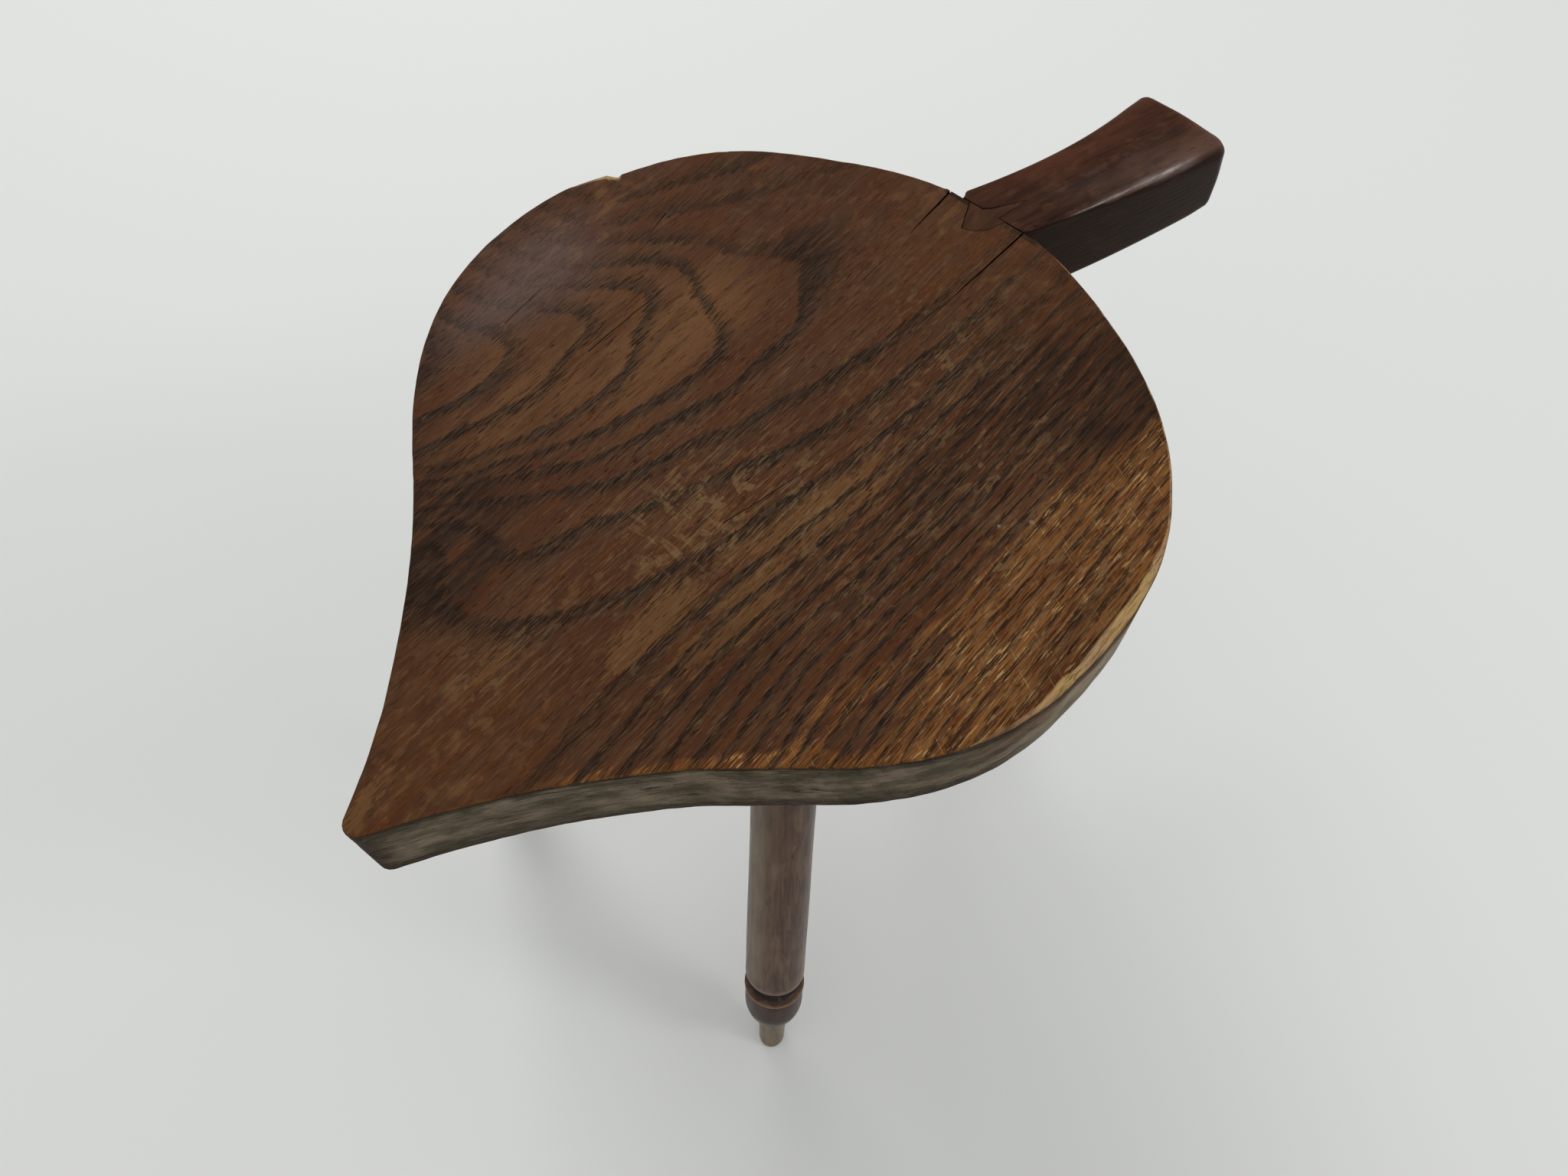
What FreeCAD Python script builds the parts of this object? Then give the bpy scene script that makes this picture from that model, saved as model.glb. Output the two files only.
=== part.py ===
import FreeCAD, Part
import math
import os

from FreeCAD import Base

# Three-legged stool with a leaf-shaped seat and a stem that serves as a handle.
# Millimetres, +Z up. The leaf's tip points to -X and its stem to +X.
# The origin is on the floor, under the middle of the whole length.

# Seat board
seat_height = 379.0
board_thickness = 45.0
lobe_half_width = 168.0
lobe_half_length = 149.0
tip_to_lobe_centre = 243.0
stem_flat_depth = 1.6
seat_worn_edge = 1.6
waist_angle = 43.0
lobe_spans = 12

# Stem handle
stem_reach = 117.5
stem_base_width = 39.0
stem_end_width = 53.0
stem_end_shift = 36.0
stem_left_hollow = 6.4
stem_right_swell = 2.6
stem_end_corner = 7.0
stem_worn_edge = 3.0

# Joint between stem and seat: a hidden tenon, two pegs and the inlaid key
stem_tenon_width = 33.0
stem_tenon_thickness = 15.0
stem_tenon_length = 58.0
stem_tenon_end_gap = 1.0
stem_peg_diameter = 8.0
stem_peg_cover = 3.0
stem_peg_place_shares = {"rear_stem_peg": (0.41, 0.22), "front_stem_peg": (0.76, -0.22)}
key_depth = 9.0
key_length = 34.0
key_width = 20.0

# The key's outline: shares of its length from the joint towards the stem,
# and shares of its width across the joint
key_outline_shares = [
    (0.0, 0.60),
    (0.0, 0.25),
    (0.12, 0.04),
    (0.53, -0.40),
    (0.27, -0.31),
    (0.0, -0.22),
    (0.0, -0.40),
    (-0.27, -0.25),
    (-0.40, -0.04),
    (-0.47, 0.25),
]

# Legs: how far they lean, and where each meets the underside as shares of the lobe's
# half length and half width. A front foot points this angle away from +X, to either side
leg_splay = 17.4
leg_place_shares = {
    "front_right": (-0.49, -0.384),
    "front_left": (-0.49, 0.384),
    "rear": (0.38, 0.0),
}
front_leg_angle = 147.0
leg_turn_shares = {"front_right": -1.0, "front_left": 1.0, "rear": 0.0}

# Leg turning: radii, and heights along the leg from the floor
shaft_start = 81.0
shaft_foot_radius = 16.9
shaft_top_radius = 15.2
cove_height = 12.0
cove_depth = 5.0
cove_lip = 0.8
bead_height = 3.0
bead_proud = 0.6
bulb_height = 33.0
bulb_radius = 16.4
bulb_foot_radius = 9.4
bulb_shoulder_share = 0.55
peg_foot_top_radius = 7.9
peg_foot_radius = 7.0

# Leg tenon and the hidden wedge that spreads it
leg_tenon_diameter = 22.0
leg_tenon_depth = 31.0
leg_tenon_end_gap = 1.2
wedge_length = 20.0
wedge_thick_end = 3.6
wedge_thin_end = 0.8
wedge_width_share = 0.8

# Clearance round each joint, and how far a cutting solid runs past what it cuts
joint_clearance = 0.15
cut_overrun = 12.0

# Places that follow from the sizes
underside = seat_height - board_thickness
joint_from_tip = tip_to_lobe_centre + lobe_half_length - stem_flat_depth
tip_x = -(joint_from_tip + stem_reach) / 2
lobe_x = tip_x + tip_to_lobe_centre
joint_x = tip_x + joint_from_tip
stem_end_x = joint_x + stem_reach
stem_flat_half = lobe_half_width * math.sqrt(1 - ((joint_x - lobe_x) / lobe_half_length) ** 2)
leg_length = underside / math.cos(math.radians(leg_splay))
upward = Base.Vector(0, 0, 1)


def at(x, y, z=0.0):
    return Base.Vector(x, y, z)


def bowed(start, end, rise):
    # An arc from start to end whose middle lies rise to the left of the chord
    across = upward.cross(end - start)
    across.normalize()
    middle = (start + end) * 0.5 + across * rise
    return Part.Arc(start, middle, end).toShape()


def straight(points):
    return [Part.LineSegment(a, b).toShape() for a, b in zip(points, points[1:])]


def raised(edges, low, high):
    # A closed outline in plan, made solid between two heights
    face = Part.Face(Part.Wire(edges))
    solid = face.extrude(at(0, 0, high - low))
    solid.translate(at(0, 0, low))
    return solid


def level_edges(solid, height):
    # The edges of a solid that lie wholly at one height
    same = lambda z: math.isclose(z, height, rel_tol=1e-9)
    return [e for e in solid.Edges if same(e.BoundBox.ZMin) and same(e.BoundBox.ZMax)]


# Seat outline: half an ellipse, met on each side by a hollow arc that runs out to the tip
def lobe_point(angle, side):
    turn = math.radians(angle)
    x = lobe_x - lobe_half_length * math.cos(turn)
    return at(x, side * lobe_half_width * math.sin(turn))


def lobe_heading(angle, side):
    turn = math.radians(angle)
    return at(lobe_half_length * math.sin(turn), side * lobe_half_width * math.cos(turn))


def lobe_curve(side):
    last_angle = 180 - math.degrees(math.asin(stem_flat_half / lobe_half_width))
    step = (last_angle - waist_angle) / lobe_spans
    angles = [waist_angle + step * i for i in range(lobe_spans + 1)]
    curve = Part.BSplineCurve()
    curve.interpolate(
        Points=[lobe_point(a, side) for a in angles],
        InitialTangent=lobe_heading(waist_angle, side),
        FinalTangent=lobe_heading(last_angle, side),
    )
    return curve.toShape()


def waist_arc(side):
    tip = at(tip_x, 0)
    start = lobe_point(waist_angle, side)
    bend = lobe_heading(waist_angle, side).getAngle(start - tip)
    rise = (start - tip).Length / 2 * math.tan(bend / 2)
    return bowed(tip, start, -side * rise)


def make_seat_blank():
    left = [waist_arc(1), lobe_curve(1)]
    right = [lobe_curve(-1), waist_arc(-1)]
    flat = Part.LineSegment(at(joint_x, stem_flat_half), at(joint_x, -stem_flat_half)).toShape()
    blank = raised(left + [flat] + right, underside, seat_height)
    worn = [e for z in (underside, seat_height) for e in level_edges(blank, z)]
    worn = [e for e in worn if e.BoundBox.XLength > stem_flat_depth]
    return blank.makeFillet(seat_worn_edge, worn)


# Stem handle, with its tenon
def tenon_block(clearance, gap, overrun):
    length = stem_tenon_length + gap + overrun
    width = stem_tenon_width + 2 * clearance
    thickness = stem_tenon_thickness + 2 * clearance
    corner = at(joint_x - stem_tenon_length - gap, -width / 2, underside + (board_thickness - thickness) / 2)
    return Part.makeBox(length, width, thickness, corner)


def make_stem_blank():
    left_base = at(joint_x, stem_base_width / 2)
    right_base = at(joint_x, -stem_base_width / 2)
    left_end = at(stem_end_x, stem_end_width / 2 - stem_end_shift)
    right_end = at(stem_end_x, -stem_end_width / 2 - stem_end_shift)
    outline = [
        bowed(left_base, left_end, -stem_left_hollow),
        Part.LineSegment(left_end, right_end).toShape(),
        bowed(right_end, right_base, stem_right_swell),
        Part.LineSegment(right_base, left_base).toShape(),
    ]
    blank = raised(outline, underside, seat_height)
    corners = [e for e in blank.Edges if e.BoundBox.ZLength > board_thickness / 2]
    end_corners = [e for e in corners if e.BoundBox.Center.x > joint_x + stem_reach / 2]
    blank = blank.makeFillet(stem_end_corner, end_corners)
    worn = [e for z in (underside, seat_height) for e in level_edges(blank, z)]
    worn = [e for e in worn if e.BoundBox.XMax > joint_x + stem_worn_edge]
    blank = blank.makeFillet(stem_worn_edge, worn)
    return blank.fuse(tenon_block(0.0, 0.0, stem_end_corner)).removeSplitter()


# Key and pegs of that joint
def key_solid(clearance, overrun):
    points = [at(joint_x + a * key_length, b * key_width) for a, b in key_outline_shares]
    wire = Part.makePolygon(points + points[:1])
    if clearance:
        wire = wire.makeOffset2D(clearance, join=2)
    face = Part.Face(wire)
    solid = face.extrude(at(0, 0, key_depth + clearance + overrun))
    solid.translate(at(0, 0, seat_height - key_depth - clearance))
    return solid


def stem_peg(shares, clearance, overrun):
    along, across = shares
    x = joint_x - along * stem_tenon_length
    height = board_thickness - key_depth - stem_peg_cover
    foot = at(x, across * stem_tenon_width, underside - overrun)
    return Part.makeCylinder(stem_peg_diameter / 2 + clearance, height + clearance + overrun, foot)


# Legs: everything is made along +Z from the foot, then leaned over on its bearing
def leg_stand(name):
    along, across = leg_place_shares[name]
    bearing = math.radians(front_leg_angle * leg_turn_shares[name])
    splay = math.radians(leg_splay)
    outward = at(math.cos(bearing), math.sin(bearing))
    top = at(lobe_x + along * lobe_half_length, across * lobe_half_width)
    lean = upward * math.cos(splay) - outward * math.sin(splay)
    foot = top + outward * underside * math.tan(splay)
    return FreeCAD.Placement(foot, FreeCAD.Rotation(upward, lean))


def turned_shaft():
    # Half profile from the foot to above the seat's underside, turned about the leg's own axis
    bulb_start = shaft_start - cove_height - bead_height - bulb_height
    bulb_shoulder = bulb_start + bulb_height * bulb_shoulder_share
    bead_start = bulb_start + bulb_height
    cove_start = bead_start + bead_height
    top = leg_length + cut_overrun
    half_turn = math.pi / 4
    round_x = bulb_foot_radius + (bulb_radius - bulb_foot_radius) * math.sin(half_turn)
    round_z = bulb_shoulder - (bulb_shoulder - bulb_start) * math.cos(half_turn)

    axis_foot = at(0, 0, -cut_overrun)
    axis_top = at(0, 0, top)
    peg_foot = [at(peg_foot_radius, 0, -cut_overrun), at(peg_foot_radius, 0, 0)]
    peg_top = at(peg_foot_top_radius, 0, bulb_start)
    bulb_foot = at(bulb_foot_radius, 0, bulb_start)
    bulb_round = at(round_x, 0, round_z)
    bulb_side = at(bulb_radius, 0, bulb_shoulder)
    bead_foot = at(bulb_radius, 0, bead_start)
    bead_crown = at(bulb_radius + bead_proud, 0, bead_start + bead_height / 2)
    bead_top = at(bulb_radius, 0, cove_start)
    cove_foot = at(bulb_radius - cove_lip, 0, cove_start)
    cove_floor = at(shaft_foot_radius - cove_depth, 0, cove_start + cove_height / 2)
    cove_top = at(shaft_foot_radius - cove_lip, 0, shaft_start)
    shaft_foot = at(shaft_foot_radius, 0, shaft_start)
    shaft_top = at(shaft_top_radius, 0, top)

    edges = straight([axis_foot] + peg_foot + [peg_top, bulb_foot])
    edges.append(Part.Arc(bulb_foot, bulb_round, bulb_side).toShape())
    edges += straight([bulb_side, bead_foot])
    edges.append(Part.Arc(bead_foot, bead_crown, bead_top).toShape())
    edges += straight([bead_top, cove_foot])
    edges.append(Part.Arc(cove_foot, cove_floor, cove_top).toShape())
    edges += straight([cove_top, shaft_foot, shaft_top, axis_top, axis_foot])
    return Part.Face(Part.Wire(edges)).revolve(at(0, 0), upward, 360)


def tenon_cylinder(clearance, start, end):
    return Part.makeCylinder(leg_tenon_diameter / 2 + clearance, end - start, at(0, 0, start))


def wedge_solid(clearance, width):
    # It thins downwards from the floor of the mortise
    thick = wedge_thick_end / 2 + clearance
    thin = wedge_thin_end / 2 + clearance
    top = leg_length + leg_tenon_depth
    foot = top - wedge_length - clearance
    corners = [at(x, -width / 2, z) for x, z in ((-thin, foot), (thin, foot), (thick, top), (-thick, top))]
    return Part.Face(Part.makePolygon(corners + corners[:1])).extrude(at(0, width, 0))


def make_leg(name):
    stand = leg_stand(name)
    leg = turned_shaft()
    leg.Placement = stand
    reach = 2 * seat_height
    between = Part.makeBox(2 * reach, 2 * reach, underside, at(-reach, -reach, 0))
    leg = leg.common(between)
    tenon_end = leg_length + leg_tenon_depth - leg_tenon_end_gap
    tenon = tenon_cylinder(0.0, leg_length - shaft_top_radius, tenon_end)
    tenon.Placement = stand
    slot = wedge_solid(joint_clearance, leg_tenon_diameter + cut_overrun)
    slot.Placement = stand
    return leg.fuse(tenon).cut(slot)


def make_wedge(name):
    wedge = wedge_solid(0.0, leg_tenon_diameter * wedge_width_share)
    wedge.Placement = leg_stand(name)
    return wedge


def leg_mortise(name):
    start = leg_length - cut_overrun
    mortise = tenon_cylinder(joint_clearance, start, leg_length + leg_tenon_depth)
    mortise.Placement = leg_stand(name)
    return mortise


# The seat and the stem are cut for everything that they hold
def make_seat():
    seat = make_seat_blank()
    seat = seat.cut(tenon_block(joint_clearance, stem_tenon_end_gap, cut_overrun))
    seat = seat.cut(key_solid(joint_clearance, cut_overrun))
    for name in leg_place_shares:
        seat = seat.cut(leg_mortise(name))
    for shares in stem_peg_place_shares.values():
        seat = seat.cut(stem_peg(shares, joint_clearance, cut_overrun))
    return seat


def make_stem():
    stem = make_stem_blank().cut(key_solid(joint_clearance, cut_overrun))
    for shares in stem_peg_place_shares.values():
        stem = stem.cut(stem_peg(shares, joint_clearance, cut_overrun))
    return stem


def export(name, shape):
    if not shape.isValid() or len(shape.Solids) != 1:
        raise ValueError(name + " is not one valid solid")
    shape.Solids[0].exportStep(os.path.join("parts", name + ".step"))
    box = shape.BoundBox
    print(name, "volume", round(shape.Volume), "x", round(box.XMin, 1), round(box.XMax, 1),
          "y", round(box.YMin, 1), round(box.YMax, 1), "z", round(box.ZMin, 1), round(box.ZMax, 1))


os.makedirs("parts", exist_ok=True)
export("seat_board", make_seat())
export("stem_handle", make_stem())
export("stem_key", key_solid(0.0, 0.0))
for name, shares in stem_peg_place_shares.items():
    export(name, stem_peg(shares, 0.0, 0.0))
for name in leg_place_shares:
    export(name + "_leg", make_leg(name))
    export(name + "_wedge", make_wedge(name))
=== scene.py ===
import math
import bmesh
import bpy
import numpy as np
from mathutils import Matrix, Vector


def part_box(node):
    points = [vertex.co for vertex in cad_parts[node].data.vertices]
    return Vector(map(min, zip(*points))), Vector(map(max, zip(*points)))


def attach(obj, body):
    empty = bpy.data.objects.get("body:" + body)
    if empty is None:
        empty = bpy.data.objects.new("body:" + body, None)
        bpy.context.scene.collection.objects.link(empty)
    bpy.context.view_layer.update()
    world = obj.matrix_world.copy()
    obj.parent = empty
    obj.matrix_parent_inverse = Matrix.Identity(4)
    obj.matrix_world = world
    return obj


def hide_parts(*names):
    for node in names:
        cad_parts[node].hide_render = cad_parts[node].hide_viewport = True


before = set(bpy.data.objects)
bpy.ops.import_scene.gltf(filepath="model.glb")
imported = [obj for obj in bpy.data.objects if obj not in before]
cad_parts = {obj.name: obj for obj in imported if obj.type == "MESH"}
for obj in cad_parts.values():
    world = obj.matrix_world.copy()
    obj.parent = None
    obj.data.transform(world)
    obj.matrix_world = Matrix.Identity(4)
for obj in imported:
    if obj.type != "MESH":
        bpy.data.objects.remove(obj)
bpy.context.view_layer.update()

# Lengths are in millimetres until a mesh is made, then metres, in the frame of the CAD part:
# the leaf's tip points to -X, the stem to +X, and the floor is at zero.
# A place on the leaf is (a, b): a from the tip towards the stem, b across, to -Y.
mm = 0.001
seatLow, seatHigh = (np.array(corner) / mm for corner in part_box("seat_board"))
tipX, jointX = seatLow[0], seatHigh[0]
topZ, underZ = seatHigh[2], seatLow[2]
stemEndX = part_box("stem_handle")[1][0] / mm
halfWidth = seatHigh[1]

seat = {
    "tipToLobe": 243.0,         # from the tip to the middle of the round part
    "lobeHalfLength": 149.0,
    "waistAngle": 43.0,         # where the hollow side runs into the round part
    "tipRound": 3.0,
    "sideSteps": 270,           # grid steps along one side, from the tip to the joint
    "acrossSteps": 136,
    "edgeSteps": 6,             # round the worn upper edge
    "wallSteps": 13,
    "footSteps": 3,
    "sharp": 38.0,              # degrees past which an edge stays sharp
    "arris": 0.9,
    "footArris": 1.5,
    # The width of the worn edge at each a, towards -Y
    "wornEdge": [(172, 0.0), (184, 0.7), (200, 1.4), (205, 2.2), (212, 2.8), (232, 3.6), (250, 4.5),
                 (264, 4.5), (276, 3.4), (286, 2.0), (298, 0.8), (326, 0.4), (340, 0.0)],
    "wornEdgeSlope": 0.8,
    "chip": (276.0, 296.0, 1.2),         # the splintered place on the other side
    "chipWidth": 3.6,
    "chipDrop": 1.2,
    "dish": 0.9,
    "waver": 0.15,
    # The sawn outline leaves the drawn one by so much at each a: the side towards -Y, then the other
    "sawnNear": [(0, 3.2), (20, 2.7), (50, 2.2), (98, 1.9), (112, 3.1), (140, 3.4), (170, 2.9), (188, 2.3),
                 (205, 0.7), (225, -0.9), (245, -1.3), (265, -0.3), (284, 0.6), (302, 0.5), (330, 0.0),
                 (350, -1.0), (362, -1.8), (374, -2.4), (383, -1.6), (389, 0.0)],
    "sawnFar": [(0, 3.2), (20, 1.2), (40, 0.1), (98, 0.1), (112, 0.7), (126, 1.5), (150, 0.7), (170, 1.1),
                (190, 1.5), (225, 0.8), (245, 0.2), (280, -0.2), (294.5, -1.2), (297, -5.0), (303, -4.8),
                (320, -3.7), (340, -2.6), (352, -2.7), (364, -3.7), (374, -4.0), (381, -2.6), (386, -1.4),
                (389, -0.3)],
}


# Small tools for shapes

def ramp(value, low, high):
    # The smooth step from 0 at low to 1 at high
    t = np.clip((value - low) / (high - low), 0, 1)
    return t * t * (3 - 2 * t)


def span(value, low, high, fade):
    # 1 between low and high, and a smooth fall to 0 outside
    return ramp(value, low - fade, low + fade) * (1 - ramp(value, high - fade, high + fade))


def waves(points, length, seed):
    # Sum of ten sines in random directions, about the given wavelength, between -1 and 1 or so
    rng = np.random.default_rng(seed)
    heading = rng.normal(size=(10, points.shape[-1]))
    heading /= np.linalg.norm(heading, axis=1, keepdims=True)
    stretch = rng.uniform(0.6, 1.8, 10)
    phase = rng.uniform(0, 2 * math.pi, 10)
    turn = points @ (heading * stretch[:, None]).T * (2 * math.pi / length) + phase
    return np.sin(turn).sum(-1) / math.sqrt(10)


def gridFaces(rows, columns, first=0):
    # The four corners of each cell of a grid whose points are numbered row by row
    start = (np.arange(rows - 1)[:, None] * columns + np.arange(columns - 1)).ravel() + first
    return np.stack([start, start + 1, start + columns + 1, start + columns], 1)


def addObject(name, data):
    made = bpy.data.objects.new(name, data)
    bpy.context.scene.collection.objects.link(made)
    return made


def makePiece(name, sheets, material, sharp=32.0):
    # Joins grids of points into one closed mesh: seams and poles merge, and faces turn outwards
    points = np.concatenate([s.reshape(-1, 3) for s in sheets]) * mm
    starts = np.cumsum([0] + [s.shape[0] * s.shape[1] for s in sheets])
    faces = np.concatenate([gridFaces(s.shape[0], s.shape[1], n) for s, n in zip(sheets, starts)])
    mesh = bpy.data.meshes.new(name)
    mesh.from_pydata(points.tolist(), [], faces.tolist())
    work = bmesh.new()
    work.from_mesh(mesh)
    bmesh.ops.remove_doubles(work, verts=work.verts, dist=2e-6)
    bmesh.ops.dissolve_degenerate(work, edges=work.edges, dist=1e-7)
    bmesh.ops.recalc_face_normals(work, faces=work.faces)
    work.to_mesh(mesh)
    work.free()
    piece = addObject(name, mesh)
    mesh.materials.append(material)
    smooth(piece, sharp)
    return piece


def smooth(piece, sharp):
    mesh = piece.data
    mesh.polygons.foreach_set("use_smooth", np.ones(len(mesh.polygons), bool))
    mesh.set_sharp_from_angle(angle=math.radians(sharp))


def prism(outline, low, high):
    # An upright block over an outline in plan: its walls, and its two ends drawn in to the middle
    ring = np.vstack([outline, outline[:1]])
    middle = np.repeat(outline.mean(0, keepdims=True), len(ring), 0)
    rows = [(middle, low), (ring, low), (ring, high), (middle, high)]
    return np.stack([np.column_stack([p, np.full(len(ring), z)]) for p, z in rows])


def pipe(start, end, radius, sides=40):
    # A round bar between two points, closed at both ends
    axis = (end - start) / np.linalg.norm(end - start)
    across = np.cross(axis, [0.0, 1.0, 0.0])
    across /= np.linalg.norm(across)
    other = np.cross(axis, across)
    turn = np.linspace(0, 2 * math.pi, sides + 1)
    ring = np.cos(turn)[:, None] * across + np.sin(turn)[:, None] * other
    return np.stack([start + 0 * ring, start + radius * ring, end + radius * ring, end + 0 * ring])


def combine(piece, sheets, operation="DIFFERENCE"):
    # Cuts closed shapes, which don't overlap, from a piece, or joins them to it, and keeps the
    # result as its mesh
    cutter = makePiece("cutter", sheets, piece.data.materials[0])
    change = piece.modifiers.new("cut", "BOOLEAN")
    change.operation, change.solver, change.object = operation, "EXACT", cutter
    graph = bpy.context.evaluated_depsgraph_get()
    result = bpy.data.meshes.new_from_object(piece.evaluated_get(graph))
    piece.modifiers.clear()
    piece.data = result
    bpy.data.objects.remove(cutter)


def vertices(piece, what="co"):
    # The places of a piece's points in millimetres, or their normals
    flat = np.zeros(len(piece.data.vertices) * 3)
    piece.data.vertices.foreach_get(what, flat)
    return flat.reshape(-1, 3) / (mm if what == "co" else 1)


def setAttribute(piece, name, values):
    kind = "FLOAT_VECTOR" if values.shape[1] == 3 else "FLOAT_COLOR"
    key = "vector" if values.shape[1] == 3 else "color"
    attribute = piece.data.attributes.new(name, kind, "POINT")
    attribute.data.foreach_set(key, values.astype(np.float32).ravel())


# Small tools for materials

def linear(hexColour):
    # sRGB hex to the linear colour that Blender's sockets take
    channels = np.array([int(hexColour[i:i + 2], 16) for i in (1, 3, 5)]) / 255
    low, high = channels / 12.92, ((channels + 0.055) / 1.055) ** 2.4
    return (*np.where(channels <= 0.04045, low, high).tolist(), 1.0)


def addNode(tree, kind, inputs=(), **settings):
    # One node with its settings; an input is a number, a colour or what feeds it
    made = tree.nodes.new("ShaderNode" + kind)
    for name, value in settings.items():
        setattr(made, name, value)
    sockets = [s for s in made.inputs if s.enabled]
    for key, value in (inputs.items() if isinstance(inputs, dict) else enumerate(inputs)):
        socket = sockets[key] if isinstance(key, int) else next(s for s in sockets if s.name == key)
        if isinstance(value, bpy.types.Node):
            value = next(s for s in value.outputs if s.enabled)
        if isinstance(value, bpy.types.NodeSocket):
            tree.links.new(value, socket)
        else:
            socket.default_value = value
    return made


def fourMasks(tree, name):
    # The masks that a colour attribute holds
    read = addNode(tree, "Attribute", attribute_name=name)
    return [*addNode(tree, "SeparateColor", [read.outputs["Color"]]).outputs[:3], read.outputs["Alpha"]]


def calculate(tree, operation, *inputs):
    # One step of arithmetic
    return addNode(tree, "Math", inputs, operation=operation)


def remap(tree, value, low, high, start=0.0, end=1.0, curve="LINEAR"):
    # Goes from start to end while the value goes from low to high, and stays there past them
    return addNode(tree, "MapRange", {"Value": value, "From Min": low, "From Max": high, "To Min": start,
                                      "To Max": end}, interpolation_type=curve)


def newMaterial(name):
    material = bpy.data.materials.new(name)
    material.use_nodes = True
    material.node_tree.nodes.clear()
    return material, material.node_tree


# Wood: what all the finishes here share.
# A ring-porous timber has a band of open pores at the start of each year's growth. Stain and dirt
# stay in the pores, so each growth line is a dark band, crisp on its inner side and ragged on its
# outer side, with short dark dashes along the grain.

def pattern(tree, place, sizes, low, high, detail=3.0, shift=0.0, turn=0.0):
    # A mask of cloudy patches: their size along and across the grain in millimetres, then the
    # levels of the noise where the mask starts and is full
    scale = (1 / sizes[0], 1 / sizes[1], 1 / sizes[-1])
    moved = addNode(tree, "Mapping", {"Vector": place, "Scale": scale, "Location": (shift, shift, shift)})
    if turn:
        turned = addNode(tree, "Mapping", {"Vector": place, "Rotation": (0.0, 0.0, math.radians(turn))})
        tree.links.new(turned.outputs[0], moved.inputs["Vector"])
    noise = addNode(tree, "TexNoise", {"Vector": moved, "Scale": 1.0, "Detail": detail, "Roughness": 0.55})
    return remap(tree, noise, low, high, curve="SMOOTHSTEP")


def paint(tree, colour, rows):
    # Lays colours over each other; a row is a colour and the masks whose product says where it lies
    for over, *masks in rows:
        amount = masks[0]
        for mask in masks[1:]:
            amount = calculate(tree, "MULTIPLY", amount, mask)
        over = linear(over) if isinstance(over, str) else over
        colour = addNode(tree, "Mix", {"Factor": amount, "A": colour, "B": over}, data_type="RGBA")
    return colour


def growthBands(tree, place, past, band, look):
    # How dark each point is from the growth line it lies past, and where its pores are
    ragged = pattern(tree, place, (14.0, 0.7), 0.28, 0.72, 3.0, 5.0)
    ragged = calculate(tree, "MULTIPLY_ADD", ragged, 1.0, 0.5)
    reach = calculate(tree, "MULTIPLY", ragged, band)
    relative = calculate(tree, "DIVIDE", past, reach)
    dark = remap(tree, relative, 0.25, 1.3, 1.0, 0.0, curve="SMOOTHSTEP")
    limit = remap(tree, dark, 0.0, 1.0, look["poreRare"], look["poreDense"])
    scale = (1 / look["poreLength"], 1 / look["poreWidth"], 1 / look["poreWidth"])
    moved = addNode(tree, "Mapping", {"Vector": place, "Scale": scale})
    grain = addNode(tree, "TexNoise", {"Vector": moved, "Scale": 1.0, "Detail": 2.0, "Roughness": 0.55})
    over = calculate(tree, "SUBTRACT", grain, limit)
    pores = remap(tree, over, 0.0, 0.05)
    return dark, pores


def finishWood(tree, colour, rough, height, look, gloss=None):
    # Oil-waxed wood: a weak, broad gloss over the colour, broken by pores and rubbed places
    bump = addNode(tree, "Bump", {"Strength": 1.0, "Distance": look["relief"] * mm, "Height": height})
    gloss = look["gloss"] if gloss is None else gloss
    shader = addNode(tree, "BsdfPrincipled", {"Base Color": colour, "Roughness": rough, "Normal": bump,
                                              "IOR": 1.5, "Specular IOR Level": gloss})
    addNode(tree, "OutputMaterial", {"Surface": shader})


# Seat board: its colours and where they lie

seatLook = {
    "red": "#422616",
    "brown": "#40291A",
    "light": "#573B26",
    "early": "#2A231C",
    "pore": "#19110B",
    "russet": "#4A2913",
    "orange": "#522B13",
    "orangeLight": "#704925",
    "amberDark": "#26140B",
    "fleck": "#A68656",
    "rubbed": "#644528",
    "scuff": "#705639",
    "dull": "#231811",
    # a painted sheen: the greyish reflection of the light on the top
    "paintedSheen": "#625855",
    "golden": "#674629",
    "bevel": "#9C7C5E",
    "bevelGold": "#AA8C58",
    # the edge line where it is not bare: a painted highlight along the arris
    "arris": "#5E4022",
    # the walls' grey-brown: a painted reflection of the pale floor
    "wall": "#4A4132",
    "wallPale": "#736654",
    "wallGreen": "#35301E",
    # dark nicks, dents and streaks, and the painted shade under the upper edge
    "wallDark": "#1F1810",
    "wallPaintedLight": "#8B7D68",
    "wallWarm": "#5E3D23",
    "wallFoot": "#2C1D15",
    "under": "#4A3A2B",
    "crack": "#080504",
    "bandShare": 0.40,          # of the distance between two growth lines
    "bandTurned": 0.28,         # more where the lines run across the grain
    "bandLeast": 1.3,
    "bandMost": 7.5,
    "ladderPlace": (172.0, 6.0),        # short scuffs across the grain, side by side
    "ladderFull": 14.0,
    "ladderEnd": 30.0,
    "specks": [(255, 103, 0.9), (265, 112, 1.2), (236, 122, 0.7)],      # (a, b), radius
    "speck": "#70685B",
    "poreRare": 0.64,
    "poreDense": 0.52,
    "poreLength": 8.0,
    "poreWidth": 0.55,
    "relief": 0.22,
    "gloss": 0.03,
}

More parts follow.
